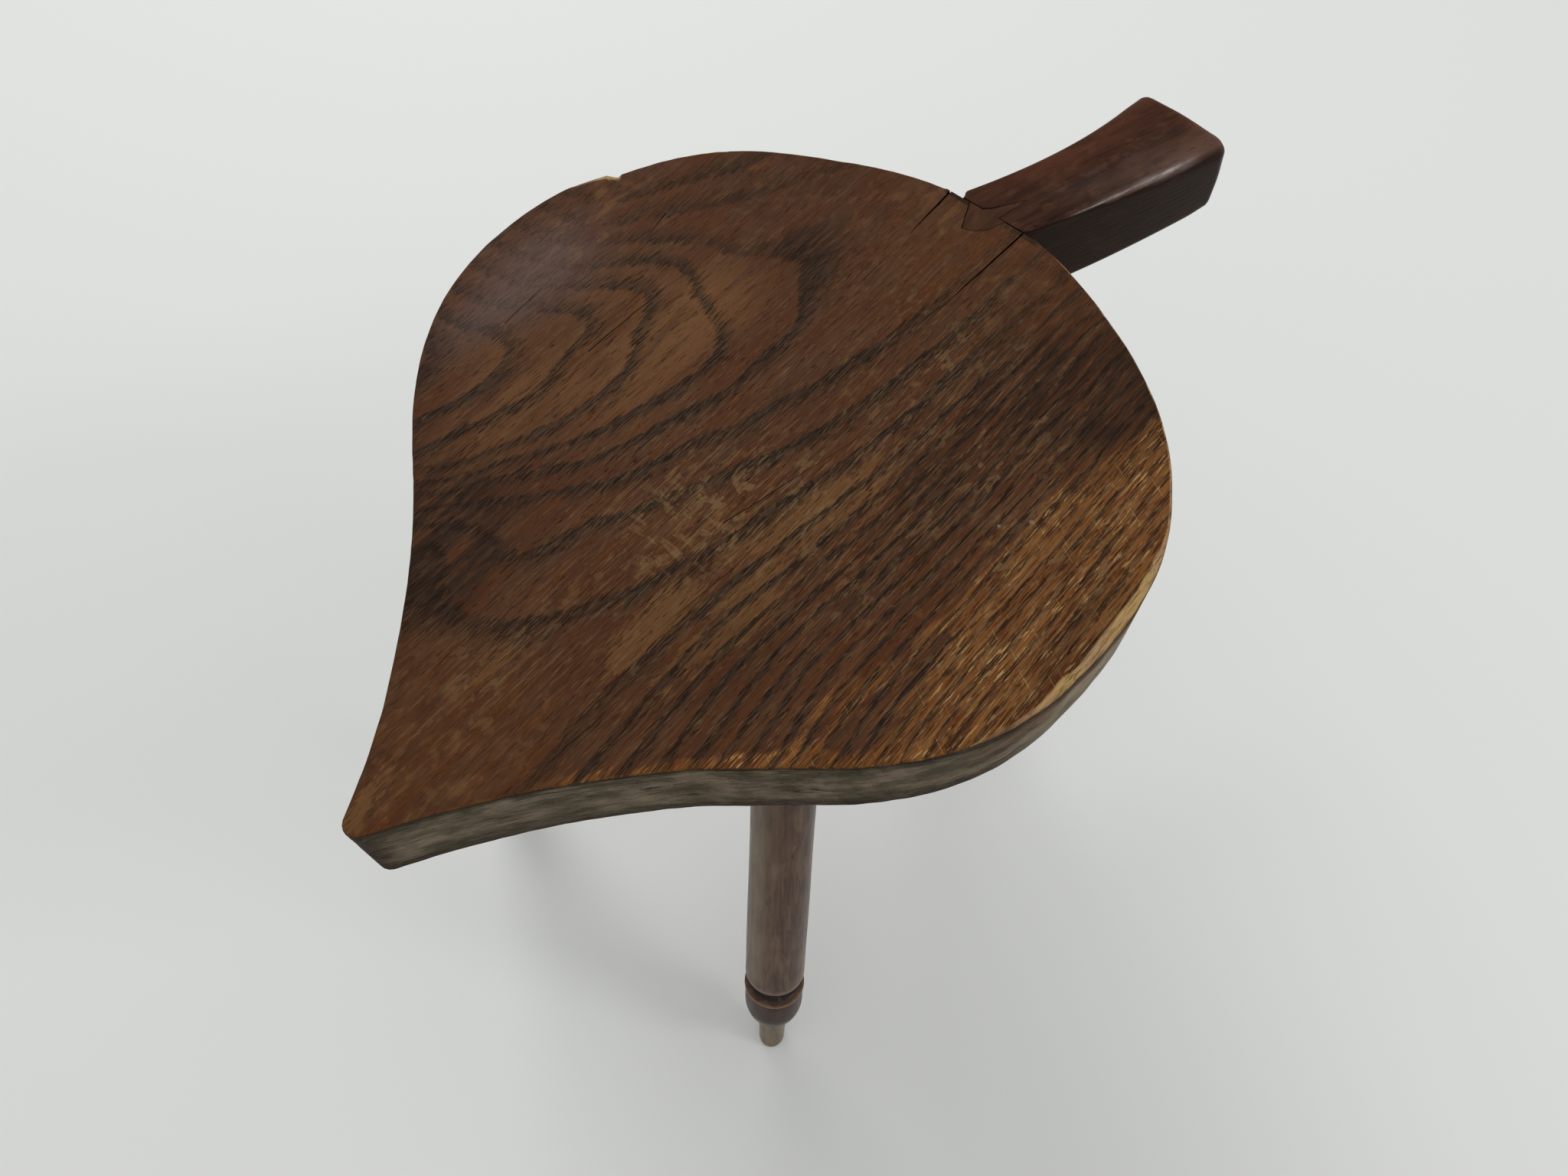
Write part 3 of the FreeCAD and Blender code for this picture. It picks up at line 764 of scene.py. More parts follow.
def seatMaterial():
    # Waxed elm: brown with wide dark growth bands, rubbed to orange along the worn edge, with painted
    # light and shade: a grey reflection of the floor on the walls, a sheen on the top, a highlight along the
    # arris, shade under the upper edge and light low on the wall at the near waist
    material, tree = newMaterial("waxed elm board")
    look = seatLook
    place = addNode(tree, "Attribute", attribute_name="place").outputs["Vector"]
    rim = addNode(tree, "Attribute", attribute_name="rim").outputs["Vector"]
    growth = addNode(tree, "Attribute", attribute_name="growth").outputs["Vector"]
    year, along, across = addNode(tree, "SeparateXYZ", [growth]).outputs
    orange, rubbed, scuffed, dull = fourMasks(tree, "wear")
    # tone holds calm and golden tone, the painted sheen, and painted light low on the near wall
    calm, paintedSheen, golden, light = fourMasks(tree, "tone")
    bevel, wall, under, shade = fourMasks(tree, "edges")
    crack = addNode(tree, "Attribute", attribute_name="crack").outputs["Fac"]

    # The growth lines step along the grain, because the wood is cut across its cells
    for slope, sizes, reach, shift in ((along, (20.0, 1.0), 4.5, 0.0), (along, (11.0, 0.5), 3.5, 6.0),
                                       (across, (45.0, 8.0), 1.8, 3.0), (across, (12.0, 0.9), 1.0, 9.0)):
        step = pattern(tree, place, sizes, 0.25, 0.75, 2.0, shift)
        step = calculate(tree, "MULTIPLY_ADD", step, reach, -reach / 2)
        year = calculate(tree, "MULTIPLY_ADD", step, slope, year)
    rate = addNode(tree, "CombineXYZ", [0.0, along, across])
    rate = addNode(tree, "VectorMath", [rate], operation="LENGTH").outputs["Value"]
    spacing = calculate(tree, "DIVIDE", 1.0, rate)
    spacing = addNode(tree, "Clamp", [spacing, 3.0, 36.0])
    past = calculate(tree, "FRACT", year)
    past = calculate(tree, "MULTIPLY", past, spacing)
    turned = calculate(tree, "ABSOLUTE", along)
    turned = calculate(tree, "MULTIPLY", turned, spacing)
    share = calculate(tree, "MULTIPLY_ADD", turned, look["bandTurned"], look["bandShare"])
    band = calculate(tree, "MULTIPLY", spacing, share)
    band = addNode(tree, "Clamp", [band, look["bandLeast"], look["bandMost"]])
    dark, pores = growthBands(tree, place, past, band, look)
    plain = calculate(tree, "MULTIPLY_ADD", calm, -0.85, 0.92)
    shallow = pattern(tree, place, (60.0, 24.0), 0.35, 0.65, 2.0, 8.0)
    shallow = remap(tree, shallow, 0.0, 1.0, 0.7, 1.0)

    streaky = calculate(tree, "MULTIPLY_ADD", golden, -0.7, 1.0)
    streaky = calculate(tree, "MULTIPLY", streaky, plain)
    fibre = pattern(tree, place, (38.0, 1.1), 0.38, 0.62, 3.0, 7.0)
    late = paint(tree, linear(look["red"]), [
        (look["brown"], pattern(tree, place, (42.0, 20.0), 0.38, 0.62, 3.0)),
        (look["light"], fibre, pattern(tree, place, (30.0, 16.0), 0.30, 0.75, 3.0, 2.0), streaky, 0.8),
        (look["light"], calm, pattern(tree, place, (18.0, 9.0), 0.35, 0.75, 5.0, 25.0), 0.6),
        (look["golden"], calm, pattern(tree, place, (11.0, 6.0), 0.49, 0.66, 6.0, 35.0), 0.6),
        (look["russet"], pattern(tree, place, (46.0, 5.0), 0.48, 0.60, 4.0, 27.0), 0.65),
        (look["golden"], golden, pattern(tree, place, (40.0, 5.0), 0.25, 0.60, 4.0, 6.0), 0.75),
    ])
    hair = pattern(tree, place, (26.0, 0.5), 0.55, 0.66, 3.0, 31.0)
    amber = paint(tree, linear(look["orange"]), [
        (look["orangeLight"], fibre),
        (look["orangeLight"], pattern(tree, place, (26.0, 9.0), 0.40, 0.65, 4.0, 28.0), 0.7),
        (look["amberDark"], pattern(tree, place, (18.0, 0.9), 0.55, 0.61, 2.0, 4.0), 0.7),
    ])
    near = pattern(tree, place, (26.0, 5.0), 0.3, 0.7, 4.0, 4.0)
    near = calculate(tree, "MULTIPLY_ADD", near, 0.45, orange)
    warmth = remap(tree, near, 0.55, 0.80)
    bare = pattern(tree, place, (22.0, 5.0), 0.25, 0.80, 9.0, 9.0)
    bare = calculate(tree, "MULTIPLY_ADD", bare, 1.1, rubbed)
    grit = pattern(tree, place, (4.0, 0.9), 0.2, 0.8, 3.0, 14.0)
    bare = calculate(tree, "MULTIPLY_ADD", grit, 0.5, bare)
    bare = remap(tree, bare, 1.30, 1.48, curve="SMOOTHSTEP")
    blotch = pattern(tree, place, (8.0, 4.5), 0.53, 0.59, 5.0)
    ladder = (*look["ladderPlace"], topZ)
    ladder = addNode(tree, "VectorMath", [place, ladder], operation="DISTANCE").outputs["Value"]
    ladder = remap(tree, ladder, look["ladderFull"], look["ladderEnd"], 1.0, 0.0)
    bars = pattern(tree, place, (3.6, 12.0), 0.55, 0.62, 3.0, 12.0)
    line = pattern(tree, place, (16.0, 0.6), 0.69, 0.75, 1.0, 5.0, 62.0)
    broken = pattern(tree, place, (50.0, 9.0), 0.30, 0.62, 3.0, 19.0)
    broken = remap(tree, broken, 0.0, 1.0, 0.5, 1.0)
    clusters = pattern(tree, place, (26.0, 14.0), 0.42, 0.60, 3.0, 23.0)
    faded = calculate(tree, "MULTIPLY_ADD", warmth, -0.2, 1.0)
    colour = paint(tree, late, [
        (amber, warmth),
        (look["rubbed"], bare, 0.62),
        (look["early"], dark, plain, shallow, broken, faded),
        (look["scuff"], blotch, scuffed, clusters, 0.6),
        (look["scuff"], bars, ladder, 0.45),
        (look["scuff"], pattern(tree, place, (15.0, 0.8), 0.56, 0.63, 3.0, 2.0), scuffed, 0.65),
        (look["fleck"], pattern(tree, place, (9.0, 1.0), 0.57, 0.65, 3.0, 3.0), warmth,
         pattern(tree, place, (60.0, 16.0), 0.40, 0.62, 2.0, 15.0), 0.75),
        (look["fleck"], line, warmth, 0.35),
        (look["scuff"], pattern(tree, place, (8.0, 0.7), 0.60, 0.68, 2.0, 1.0), streaky, 0.45),
        (look["pore"], hair, streaky, 0.4),
        (look["dull"], dull, pattern(tree, place, (30.0, 3.0), 0.30, 0.62, 6.0, 21.0), 0.8),
        (look["pore"], pores, plain, 0.85),
        # Painted sheen: a greyish reflection of the light laid over the top
        (look["paintedSheen"], paintedSheen, 0.38),
    ])

    # The walls are painted grey-brown as a reflection of the pale floor, streaked along the edge, darker and
    # redder low down, with painted shade under the upper edge and painted light low on the wall at the near
    # waist; the worn edge is bare
    run, level, bareness = addNode(tree, "SeparateXYZ", [rim]).outputs
    foot = remap(tree, level, underZ + 1, underZ + 10, 0.9, 0.0)
    streaks = pattern(tree, rim, (40.0, 9.0), 0.30, 0.60, 4.0, 5.0)
    streaks = remap(tree, streaks, 0.0, 1.0, 0.65, 1.0)
    upper = remap(tree, level, topZ - 30, topZ - 6)
    tipNear = calculate(tree, "ABSOLUTE", run)
    tipNear = remap(tree, tipNear, 3.0, 14.0, 0.85, 0.0)
    nicked = pattern(tree, rim, (45.0, 12.0), 0.44, 0.60, 3.0, 29.0)
    dents = pattern(tree, rim, (13.0, 1.1), 0.57, 0.62, 3.0, 13.0)
    dents = calculate(tree, "MULTIPLY", dents, nicked)
    margins = calculate(tree, "SUBTRACT", level, (topZ + underZ) / 2)
    margins = calculate(tree, "ABSOLUTE", margins)
    margins = remap(tree, margins, 6.0, 18.0)
    wallColour = paint(tree, linear(look["wall"]), [
        (look["wallPale"], pattern(tree, rim, (30.0, 14.0), 0.30, 0.62, 5.0)),
        (look["wallGreen"], pattern(tree, rim, (20.0, 8.0), 0.47, 0.60, 7.0, 9.0), 0.5),
        (look["wallGreen"], pattern(tree, rim, (15.0, 2.6), 0.44, 0.60, 6.0, 19.0), margins, 0.9),
        (look["wallDark"], pattern(tree, rim, (5.0, 1.6), 0.50, 0.62, 4.0, 23.0), 0.3),
        (look["wallWarm"], bareness, upper, 0.85),
        (look["wallFoot"], foot),
        # painted light: the lower part of the wall paler at the near waist
        (look["wallPaintedLight"], light, pattern(tree, rim, (34.0, 14.0), 0.20, 0.55, 4.0, 17.0), 0.85),
        (look["wallDark"], pattern(tree, rim, (14.0, 1.2), 0.58, 0.67, 5.0, 3.0), nicked, 0.7),
        # painted shade under the upper edge, reaching lower where the edge turns in
        (look["wallDark"], shade, streaks),
        (look["wallFoot"], tipNear),
        (look["wallPale"], pattern(tree, rim, (9.0, 0.7), 0.62, 0.68, 3.0, 7.0), 0.5),
        (look["wallDark"], dents, 0.8),
    ])
    # The bare worn edge, and the thin pale line along the arris, which is a painted highlight
    pale = paint(tree, linear(look["arris"]), [(look["bevel"], bareness)])
    pale = paint(tree, pale, [
        (look["bevelGold"], pattern(tree, place, (30.0, 12.0), 0.40, 0.60), bareness, 0.8),
        (look["arris"], pattern(tree, place, (12.0, 0.8), 0.50, 0.62, 3.0, 4.0), 0.6),
    ])
    belowColour = paint(tree, linear(look["under"]), [
        (look["early"], dark, 0.6),
        (look["pore"], pores, 0.6),
    ])
    colour = paint(tree, colour, [
        (pale, bevel),
        (wallColour, wall),
        (belowColour, under),
    ])
    for a, b, size in look["specks"]:
        far = addNode(tree, "VectorMath", [place, (a, b, topZ)], operation="DISTANCE").outputs["Value"]
        colour = paint(tree, colour, [(look["speck"], remap(tree, far, size * 0.7, size, 0.8, 0.0))])
    colour = paint(tree, colour, [(look["crack"], crack)])

    coarse = calculate(tree, "ADD", pores, bare)
    coarse = calculate(tree, "ADD", wall, coarse)
    rough = remap(tree, coarse, 0.0, 2.0, 0.42, 0.66)
    sunk = calculate(tree, "MULTIPLY_ADD", dark, 0.35, pores)
    dents = calculate(tree, "MULTIPLY", dents, wall)
    sunk = calculate(tree, "MULTIPLY_ADD", dents, 1.5, sunk)
    height = calculate(tree, "MULTIPLY", fibre, 0.5)
    height = calculate(tree, "SUBTRACT", height, sunk)
    gloss = calculate(tree, "MULTIPLY_ADD", crack, -look["gloss"], look["gloss"])
    finishWood(tree, colour, rough, height, look, gloss)
    return material


def plainWood(name, look, zones=None):
    # Wood whose growth lines are rings about a pith that lies beside the piece, along its first axis;
    # the zones are further colours and the attribute that says where they lie
    material, tree = newMaterial(name)
    if zones:
        place = addNode(tree, "Attribute", attribute_name="place").outputs["Vector"]
    else:
        place = addNode(tree, "TexCoord").outputs["Object"]
        place = addNode(tree, "VectorMath", {"Vector": place, "Scale": 1 / mm}, operation="SCALE")
    off = addNode(tree, "Mapping", {"Vector": place, "Location": (0.0, *look["pith"]),
                                    "Scale": (0.0, 1.0, 1.0)})
    radius = addNode(tree, "VectorMath", [off], operation="LENGTH").outputs["Value"]
    wander = pattern(tree, place, (60.0, 9.0), 0.3, 0.7, 2.0, 2.0)
    radius = calculate(tree, "MULTIPLY_ADD", wander, look["wander"], radius)
    year = calculate(tree, "DIVIDE", radius, look["ringSpacing"])
    past = calculate(tree, "FRACT", year)
    past = calculate(tree, "MULTIPLY", past, look["ringSpacing"])
    dark, pores = growthBands(tree, place, past, look["band"], look)
    fibre = pattern(tree, place, (34.0, 1.2), 0.38, 0.62, 3.0, 7.0)
    worn = pattern(tree, place, look["wornSizes"], 0.52, 0.68, 5.0, 9.0)
    late = paint(tree, linear(look["late"]), [
        (look["lateLight"], fibre, 0.6),
        (look["lateLight"], pattern(tree, place, (30.0, 12.0), 0.4, 0.6), 0.6),
    ])
    over = []
    if zones:
        masks = fourMasks(tree, "zones")
        over = [(look[zone], mask) for zone, mask in zip(zones, masks)]
    colour = paint(tree, late, [
        (look["early"], dark, look["bandDepth"]),
        (look["worn"], worn, look["wornShare"]),
        *over,
        (look["early"], pattern(tree, place, (30.0, 6.0), 0.42, 0.66, 4.0, 15.0), look["mottled"]),
        (look["worn"], worn, look["wornShare"] / 2),
        (look["pore"], pores, 0.7),
    ])
    rough = calculate(tree, "ADD", pores, worn)
    rough = remap(tree, rough, 0.0, 1.5, look["roughness"], look["roughness"] + 0.2)
    height = calculate(tree, "MULTIPLY", fibre, 0.5)
    height = calculate(tree, "SUBTRACT", height, pores)
    gloss = None
    if zones and "polish" in zones:
        rubbed = pattern(tree, place, (16.0, 5.0), 0.30, 0.60, 3.0, 11.0)
        rubbed = calculate(tree, "MULTIPLY", masks[3], rubbed)
        gloss = calculate(tree, "MULTIPLY_ADD", rubbed, look["polishGloss"], look["gloss"])
    finishWood(tree, colour, rough, height, look, gloss)
    return material


# The other woods: a piece's own values stand beside those that it shares with the stem
stemLook = {
    "late": "#26150F",
    "lateLight": "#3E271A",
    "early": "#1C110C",
    "worn": "#4E3223",
    "pore": "#150C08",
    "side": "#21130B",
    "warm": "#4E2C1E",
    "end": "#5E463A",
    "polish": "#5A4238",
    "pith": (60.0, 45.0),       # the middle of the rings, beside the piece
    "ringSpacing": 9.0,
    "wander": 6.0,
    "band": 3.2,
    "bandDepth": 0.3,
    "mottled": 0.4,
    "poreRare": 0.70,
    "poreDense": 0.62,
    "poreLength": 8.0,
    "poreWidth": 0.5,
    "wornSizes": (14.0, 7.0),
    "wornShare": 0.45,
    "relief": 0.10,
    "roughness": 0.30,
    "gloss": 0.03,
    "polishGloss": 1.0,
}
keyLook = dict(stemLook, late="#342014", lateLight="#422A1A", pith=(80.0, 30.0), roughness=0.36)
# cove and bulb: painted shade in the cove and on the bulb's upper part
legLook = dict(stemLook, late="#453024", lateLight="#604837", early="#2E2019", worn="#75634F",
               # lip: edge wear with a painted highlight on the bead and the shaft's lip
               cove="#160C07", bulb="#2C170C", foot="#75664F", lip="#75573C", pith=(14.0, 9.0),
               ringSpacing=4.2, wander=3.0, band=1.5, bandDepth=0.35, mottled=0.3,
               wornSizes=(30.0, 5.0), wornShare=0.28, relief=0.06, gloss=0.18)
hiddenLook = dict(stemLook, late="#7A5C3E", lateLight="#92724E", early="#5A4029", worn="#8A6C4C",
                  pith=(9.0, 6.0), ringSpacing=2.4, band=0.9, mottled=0.2, roughness=0.55, gloss=0.3)

elmBoard = seatMaterial()
stemWood = plainWood("polished elm handle", stemLook, ("warm", "side", "end", "polish"))
keyWood = plainWood("waxed elm key", keyLook)
legWood = plainWood("varnished turned beech", legLook, ("cove", "bulb", "foot", "lip"))
hiddenWood = plainWood("dry split ash", hiddenLook)
print("materials ready")


# Places a along the edge, from and to, and how softly each ends
edgePlaces = {
    "orangeStrip": (62, 240, 22),       # a worn strip inside the -Y edge
    "paintedLightWall": (205, 285, 22),        # painted light: the lower wall is paler here
    "turnedIn": (150, 275, 15),         # the shade under the edge reaches lower
    "warmWall": (172, 206, 8),
    "edgeHighlight": [(230, 0.4), (310, 0.9), (380, 0.8)],       # how pale the edge is painted at each a: a painted highlight along the arris
}


def makeSeat():
    board = makePiece("leaf_seat", seatSheets(), elmBoard, seat["sharp"])
    inner = joint["clearance"]
    hidden = tenonSheets(inner, joint["overrun"]) + mortiseSheets(inner)
    blades = [crackBlade(i) for i in range(len(cracks))]
    for cutters in (blades, [keyPocket()], hidden, pegSheets(inner), openingSheets()):
        combine(board, cutters)
    smooth(board, seat["sharp"])
    points = vertices(board)
    places = np.column_stack([points[:, 0] - tipX, -points[:, 1], points[:, 2]])
    depth = topZ - points[:, 2]
    # The rings lean away from the heart of the plank, at b = -100, on their way down
    turned = -0.35 * np.tanh((places[:, 1] + 100) / 40)
    field = growthField(places[:, :2] + np.column_stack([0.15 * depth, turned * depth]))
    setAttribute(board, "place", places)
    setAttribute(board, "growth", field)
    zones = [zoneMask(name, places[:, :2]) for name in seatZones]
    nearSide = places[:, 1] > 0
    # Painted light: the wall is paler low down at the near waist
    light = span(places[:, 0], *edgePlaces["paintedLightWall"]) * nearSide * ramp(depth, 8, 19)
    setAttribute(board, "tone", np.column_stack(zones[4:] + [light]))

    # How far each point is from the outline, and how worn the outline is there
    line, _ = seatOutline()
    a = line[:, 0] - tipX
    width, drop, worn, chip = wornEdges(line)
    nearest = np.empty(len(points), int)
    for part in np.array_split(np.arange(len(points)), 60):
        nearest[part] = np.square(points[part, None, :2] - line).sum(-1).argmin(1)
    inward = np.linalg.norm(points[:, :2] - line[nearest], axis=1)
    strip = span(places[:, 0], *edgePlaces["orangeStrip"]) * nearSide * (1 - ramp(inward, 1, 9))
    zones[0] = np.clip(zones[0] + strip * (0.75 + 0.25 * waves(places * (1, 1, 0), 26.0, 33)), 0, 1)
    setAttribute(board, "wear", np.column_stack(zones[:4]))
    bare = np.clip(worn + chip, 0, 1)
    rubbedEdge = (1 - ramp(inward / width[nearest], 0.86, 0.98)) * (depth < drop[nearest] + 0.3)
    # A thin pale line along the arris, beside the real worn bevel and chip, is a painted highlight
    thin = np.interp(a, *np.array(edgePlaces["edgeHighlight"]).T)
    thin = np.where(line[:, 1] < 0, thin, 0.08 + 0.6 * ramp(a, 300, 340))
    thin = thin * (0.5 + 0.5 * waves(np.column_stack([line, line[:, 0]]), 16.0, 31))
    strength = np.clip(thin + worn + chip, 0, 1)[nearest] * (points[:, 0] < jointX - 3)
    wall = ramp(depth, drop[nearest] - 0.5, drop[nearest] - 0.05) * (inward < 3)
    turnedIn = span(places[:, 0], *edgePlaces["turnedIn"]) * nearSide
    # Painted shade just under the upper edge
    shade = 1 - ramp(depth - drop[nearest], 0.5, 3.5 + 8 * turnedIn)
    under = ramp(depth, topZ - underZ - 0.8, topZ - underZ - 0.1)
    setAttribute(board, "edges", np.column_stack([rubbedEdge * strength, wall, under, shade]))
    run = np.concatenate([[0], np.cumsum(np.linalg.norm(np.diff(line, axis=0), axis=1))])
    run = np.where(line[:, 1] < 0, run, run - run[-1])[nearest]
    pale = np.maximum.reduce([bare, 0.8 * ramp(a, 270, 300), 0.55 * span(a, *edgePlaces["warmWall"])])
    setAttribute(board, "rim", np.column_stack([run, points[:, 2], pale[nearest]]))
    markCracks(board)
    return board


def markCracks(board):
    # The steep faces beside a crack's line are its walls
    count = len(board.data.polygons)
    centre, normal = np.zeros(count * 3), np.zeros(count * 3)
    board.data.polygons.foreach_get("center", centre)
    board.data.polygons.foreach_get("normal", normal)
    centre, normal = centre.reshape(-1, 3) / mm, normal.reshape(-1, 3)
    a, b, depth = centre[:, 0] - tipX, -centre[:, 1], topZ - centre[:, 2]
    inside = np.zeros(count, bool)
    for index in range(len(cracks)):
        route, half, deep = crackLine(index)
        order = np.argsort(route[:, 0])
        off = np.abs(np.interp(a, route[order, 0], route[order, 1]) - b)
        wide = np.interp(a, route[order, 0], half[order])
        inside |= ((off < wide + 0.15) & (a > route[:, 0].min() - 0.5) & (a < route[:, 0].max() + 0.5)
                   & (depth < deep + 1))
    inside &= np.abs(normal[:, 2]) < 0.75
    mark = board.data.attributes.new("crack", "FLOAT", "FACE")
    mark.data.foreach_set("value", inside.astype(np.float32))


stem = {
    "baseWidth": 39.0,
    "endWidth": 53.0,
    "endShift": 36.0,
    "leftHollow": 6.4,
    "rightSwell": 2.6,
    "notch": 3.2,
    "notchLength": 5.0,
    "steps": 72,
    "sideSteps": 18,
    "sharp": 40.0,      # degrees past which an edge stays sharp
}


def stemSides(share):
    # The two curved sides in plan, at a share of the way from the joint to the end
    bow = 4 * share * (1 - share)
    middle = stem["endShift"] * share
    half = stem["baseWidth"] / 2 + (stem["endWidth"] - stem["baseWidth"]) / 2 * share
    notch = stem["notch"] * (1 - ramp(share * (stemEndX - jointX), 0.0, stem["notchLength"]))
    left = middle - half + stem["leftHollow"] * bow + notch
    return left, middle + half + stem["rightSwell"] * bow - 0.4 * notch


def stemSheets():
    # A box whose edges are rounded: a point goes to the nearest point of a smaller box, then out
    # again by the radius, which grows from the joint to the handled end
    length, half = stemEndX - jointX, (topZ - underZ) / 2
    even = np.linspace(0, 1, stem["steps"] + 1)
    along = length * (0.4 * even + 0.3 * (1 - np.cos(math.pi * even)))
    lane = np.sin(np.linspace(-1, 1, stem["sideSteps"] + 1) * math.pi / 2)
    ones = np.ones_like(lane)
    loop = [(lane, ones), (ones, -lane), (-lane, -ones), (-ones, lane)]
    u = np.concatenate([p[0][:-1] for p in loop] + [lane[:1]])
    v = np.concatenate([p[1][:-1] for p in loop] + [ones[:1]])
    tube = np.stack([along[:, None] + 0 * u, u + 0 * along[:, None], v + 0 * along[:, None]], 2)
    capU, capV = np.meshgrid(lane, lane)
    sheets = [tube, np.stack([np.full_like(capU, length), capU, capV], 2),
              np.stack([np.zeros_like(capU), capU, capV], 2)]
    made = []
    for sheet in sheets:
        share = sheet[:, :, 0] / length
        left, right = stemSides(share)
        wide = (right - left) / 2
        box = np.stack([sheet[:, :, 0], sheet[:, :, 1] * wide, sheet[:, :, 2] * half], 2)
        handled = ramp(share, 0.02, 0.9)
        shoulder = ramp(sheet[:, :, 1], -0.3, 0.9) * ramp(sheet[:, :, 2], -0.3, 0.9)
        radius = (0.5 + handled * (3.0 + 4.6 * shoulder) + 2.0 * ramp(share, 0.85, 1.0))[:, :, None]
        top = np.stack([np.full_like(wide, length), wide, np.full_like(wide, half)], 2) - radius
        core = np.stack([np.minimum(box[:, :, 0], top[:, :, 0]),
                         np.clip(box[:, :, 1], -top[:, :, 1], top[:, :, 1]),
                         np.clip(box[:, :, 2], -top[:, :, 2], top[:, :, 2])], 2)
        out = box - core
        far = np.linalg.norm(out, axis=2, keepdims=True)
        box = np.where(far > 1e-9, core + out / np.maximum(far, 1e-9) * radius, box)
        b = (left + right) / 2 + box[:, :, 1]
        made.append(np.stack([jointX + box[:, :, 0], -b, (topZ + underZ) / 2 + box[:, :, 2]], 2))
    return made


def makeStem():
    handle = makePiece("stem_grip", stemSheets(), stemWood, stem["sharp"])
    combine(handle, tenonSheets(0.0, joint["tenonRoot"]), "UNION")
    for cutters in ([keyPocket()], pegSheets(joint["clearance"]), openingSheets()):
        combine(handle, cutters)
    smooth(handle, stem["sharp"])
    points = vertices(handle)
    turn = math.atan2(-stem["endShift"], stemEndX - jointX)
    x, y = points[:, 0] - jointX, points[:, 1]
    grain = np.column_stack([x * math.cos(turn) + y * math.sin(turn),
                             y * math.cos(turn) - x * math.sin(turn), points[:, 2] - topZ])
    setAttribute(handle, "place", grain)
    share = x / (stemEndX - jointX)
    left, right = stemSides(np.clip(share, 0, 1))
    across = (-y - left) / (right - left)
    facing = vertices(handle, "normal")
    top = ramp(facing[:, 2], 0.25, 0.85)
    warm = ramp(share, -0.3, 0.4) * (1 - ramp(across, 0.1, 0.6)) * 0.7
    warm = np.maximum(warm, 0.7 * ramp(share, 0.85, 1.0) * top)
    arris = span(facing[:, 2], 0.45, 0.93, 0.1) * (across > 0.5) * span(share, 0.25, 0.75, 0.12)
    zones = [warm * top, 1 - top, 0.8 * ramp(across, 0.5, 1.0) * ramp(share, 0.3, 0.8) * top, arris]
    setAttribute(handle, "zones", np.column_stack(zones))
    return handle


def makeKey():
    gap = -0.05
    solid = makePiece("joint_key", [prism(keyOutline(gap), topZ - joint["keyDepth"], topZ - 0.12)], keyWood)
    ease = solid.modifiers.new("eased edges", "BEVEL")
    ease.width, ease.segments, ease.limit_method = 0.35 * mm, 2, "ANGLE"
    return solid


def makeLeg(name, seed):
    stand = Stand(name)
    made = makePiece(name + "_turned_leg", [legSheet(stand, seed)], legWood, 30.0)
    spots = stand.local(vertices(made))
    setAttribute(made, "place", spots + (seed * 41.0, 0.0, 0.0))
    height = spots[:, 0] + spots[:, 1] * stand.slope * (1 - ramp(spots[:, 0], 1.0, leg["bulbStart"]))
    # Painted shade: the cove darkens, and the bulb darkens towards its shoulder
    cove = span(height, leg["coveStart"] + 0.6, leg["shaftStart"] - 0.4, 0.7)
    bulb = 0.9 * ramp(height, leg["bulbStart"] + 4, leg["bulbShoulder"]) * (height < leg["beadStart"] + 0.3)
    foot = 1 - ramp(height, leg["bulbStart"] - 4, leg["bulbStart"] + 12)
    # The bead and the shaft's lip are painted pale: edge wear with a painted highlight
    lip = span(height, leg["beadStart"] + 0.6, leg["coveStart"] - 0.4, 0.5)
    lip = np.maximum(lip, 0.7 * span(height, leg["shaftStart"] - 0.2, leg["shaftStart"] + 1.2, 0.5))

    # A painted highlight runs pale down one side of the shaft, and a broken dark stain runs down another
    around = np.degrees(np.arctan2(spots[:, 2], spots[:, 1]))
    onShaft = span(height, leg["shaftStart"] + 8, stand.length - 6, 6.0)
    rubbed, stained = (onShaft * np.exp(-np.square((around - at) / wide))
                       for at, wide in (leg["highlightSide"], leg["stainedSide"]))
    rubbed *= 0.50 + 0.14 * waves(spots, 34.0, seed + 20)
    stained *= 0.7 * ramp(waves(spots * (1, 0.3, 0.3), 26.0, seed + 30), -0.1, 0.9)
    # The first channel holds the cove's painted shade and the stain, the third the foot's tan and the
    # painted highlight
    setAttribute(made, "zones", np.column_stack([
        np.maximum(cove, stained), bulb, np.maximum(0.85 * foot, rubbed), lip]))
    return made


seatPiece = makeSeat()
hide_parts("seat_board")
print("seat ready", len(seatPiece.data.polygons))
stemPiece = makeStem()
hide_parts("stem_handle")
keyPiece = makeKey()
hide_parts("stem_key")
pieces = [seatPiece, stemPiece, keyPiece]
for seed, name in enumerate(leg["places"], 1):
    legPiece = makeLeg(name, seed)
    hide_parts(name + "_leg")
    pieces.append(legPiece)
for piece in pieces:
    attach(piece, "root")
for name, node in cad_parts.items():
    if node.hide_render:
        continue
    node.data.materials.clear()
    node.data.materials.append(hiddenWood)
print("stem, key and legs ready")


# Floor, light and camera, in metres
stageLook = {
    "floor": "#D2D3D0",
    "floorSize": 9.0,
    "sky": "#F9FAFB",
    "skyStrength": 0.78,
    "windows": [{"place": (1.0, 1.74, 2.35), "size": 1.3, "watts": 34.0},
                {"place": (0.86, -1.65, 1.68), "size": 0.5, "watts": 9.0}],
}


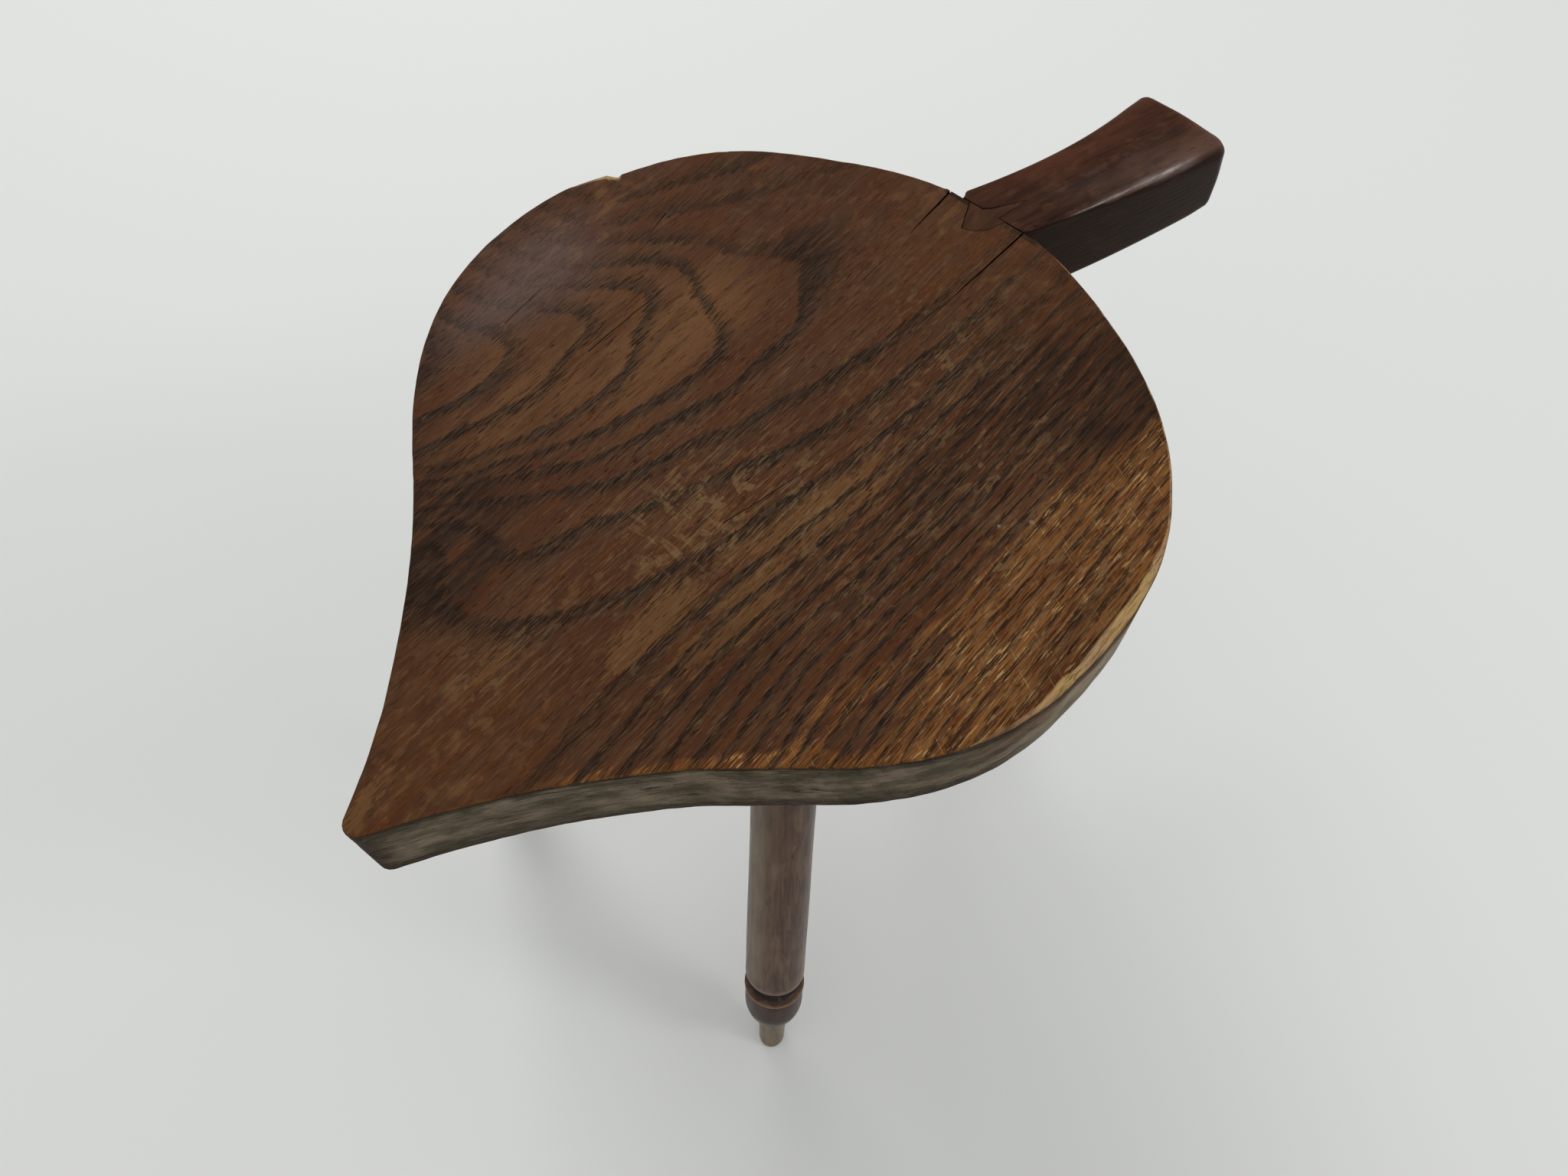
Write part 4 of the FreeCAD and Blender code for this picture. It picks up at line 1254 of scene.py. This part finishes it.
def makeStage():
    half = stageLook["floorSize"] / 2
    mesh = bpy.data.meshes.new("floor")
    corners = [(-half, -half, 0), (half, -half, 0), (half, half, 0), (-half, half, 0)]
    mesh.from_pydata(corners, [], [(0, 1, 2, 3)])
    floor = addObject("floor", mesh)
    material, tree = newMaterial("pale floor paint")
    shader = addNode(tree, "BsdfPrincipled", {"Base Color": linear(stageLook["floor"]), "Roughness": 0.6,
                                              "Specular IOR Level": 0.2})
    addNode(tree, "OutputMaterial", {"Surface": shader})
    mesh.materials.append(material)


def makeLight():
    world = bpy.data.worlds.new("soft sky")
    bpy.context.scene.world = world
    world.use_nodes = True
    sky = world.node_tree.nodes["Background"]
    sky.inputs["Color"].default_value = linear(stageLook["sky"])
    sky.inputs["Strength"].default_value = stageLook["skyStrength"]
    for number, window in enumerate(stageLook["windows"], 1):
        name = "window_" + str(number)
        lamp = bpy.data.lights.new(name, "AREA")
        lamp.size, lamp.energy = window["size"], window["watts"]
        light = addObject(name, lamp)
        place = np.array(window["place"])
        target = np.array([0.0, 0.0, topZ * mm])
        light.matrix_world = aim(place, (target - place) / np.linalg.norm(target - place), 0.0)


def aim(place, forward, roll):
    # The matrix of a camera or lamp at a place, looking along forward, with its level line turned by roll
    level = np.cross(forward, (0.0, 0.0, 1.0))
    level /= np.linalg.norm(level)
    up = np.cross(level, forward)
    right = math.cos(roll) * level - math.sin(roll) * up
    top = math.sin(roll) * level + math.cos(roll) * up
    rows = np.eye(4)
    rows[:3, 0], rows[:3, 1], rows[:3, 2], rows[:3, 3] = right, top, -np.array(forward), place
    return Matrix(rows.tolist())


view = {
    "place": (-0.2449, -0.2050, 0.806),
    "heading": (0.74664, 0.66523),
    "down": 62.2,           # degrees below the level
    "roll": 0.0213,         # as a tangent
    "lens": 28.125,         # millimetres
    "sensor": 36.0,
}


def makeCamera():
    data = bpy.data.cameras.new("camera")
    data.sensor_width, data.lens = view["sensor"], view["lens"]
    data.clip_start, data.clip_end = 0.01, 50.0
    camera = addObject("camera", data)
    down = math.radians(view["down"])
    level = np.array(view["heading"]) * math.cos(down)
    forward = np.array([level[0], level[1], -math.sin(down)])
    camera.matrix_world = aim(np.array(view["place"]), forward, math.atan(view["roll"]))
    bpy.context.scene.camera = camera


makeStage()
makeLight()
makeCamera()
bpy.context.scene.view_settings.view_transform = "Standard"
print("stage ready")
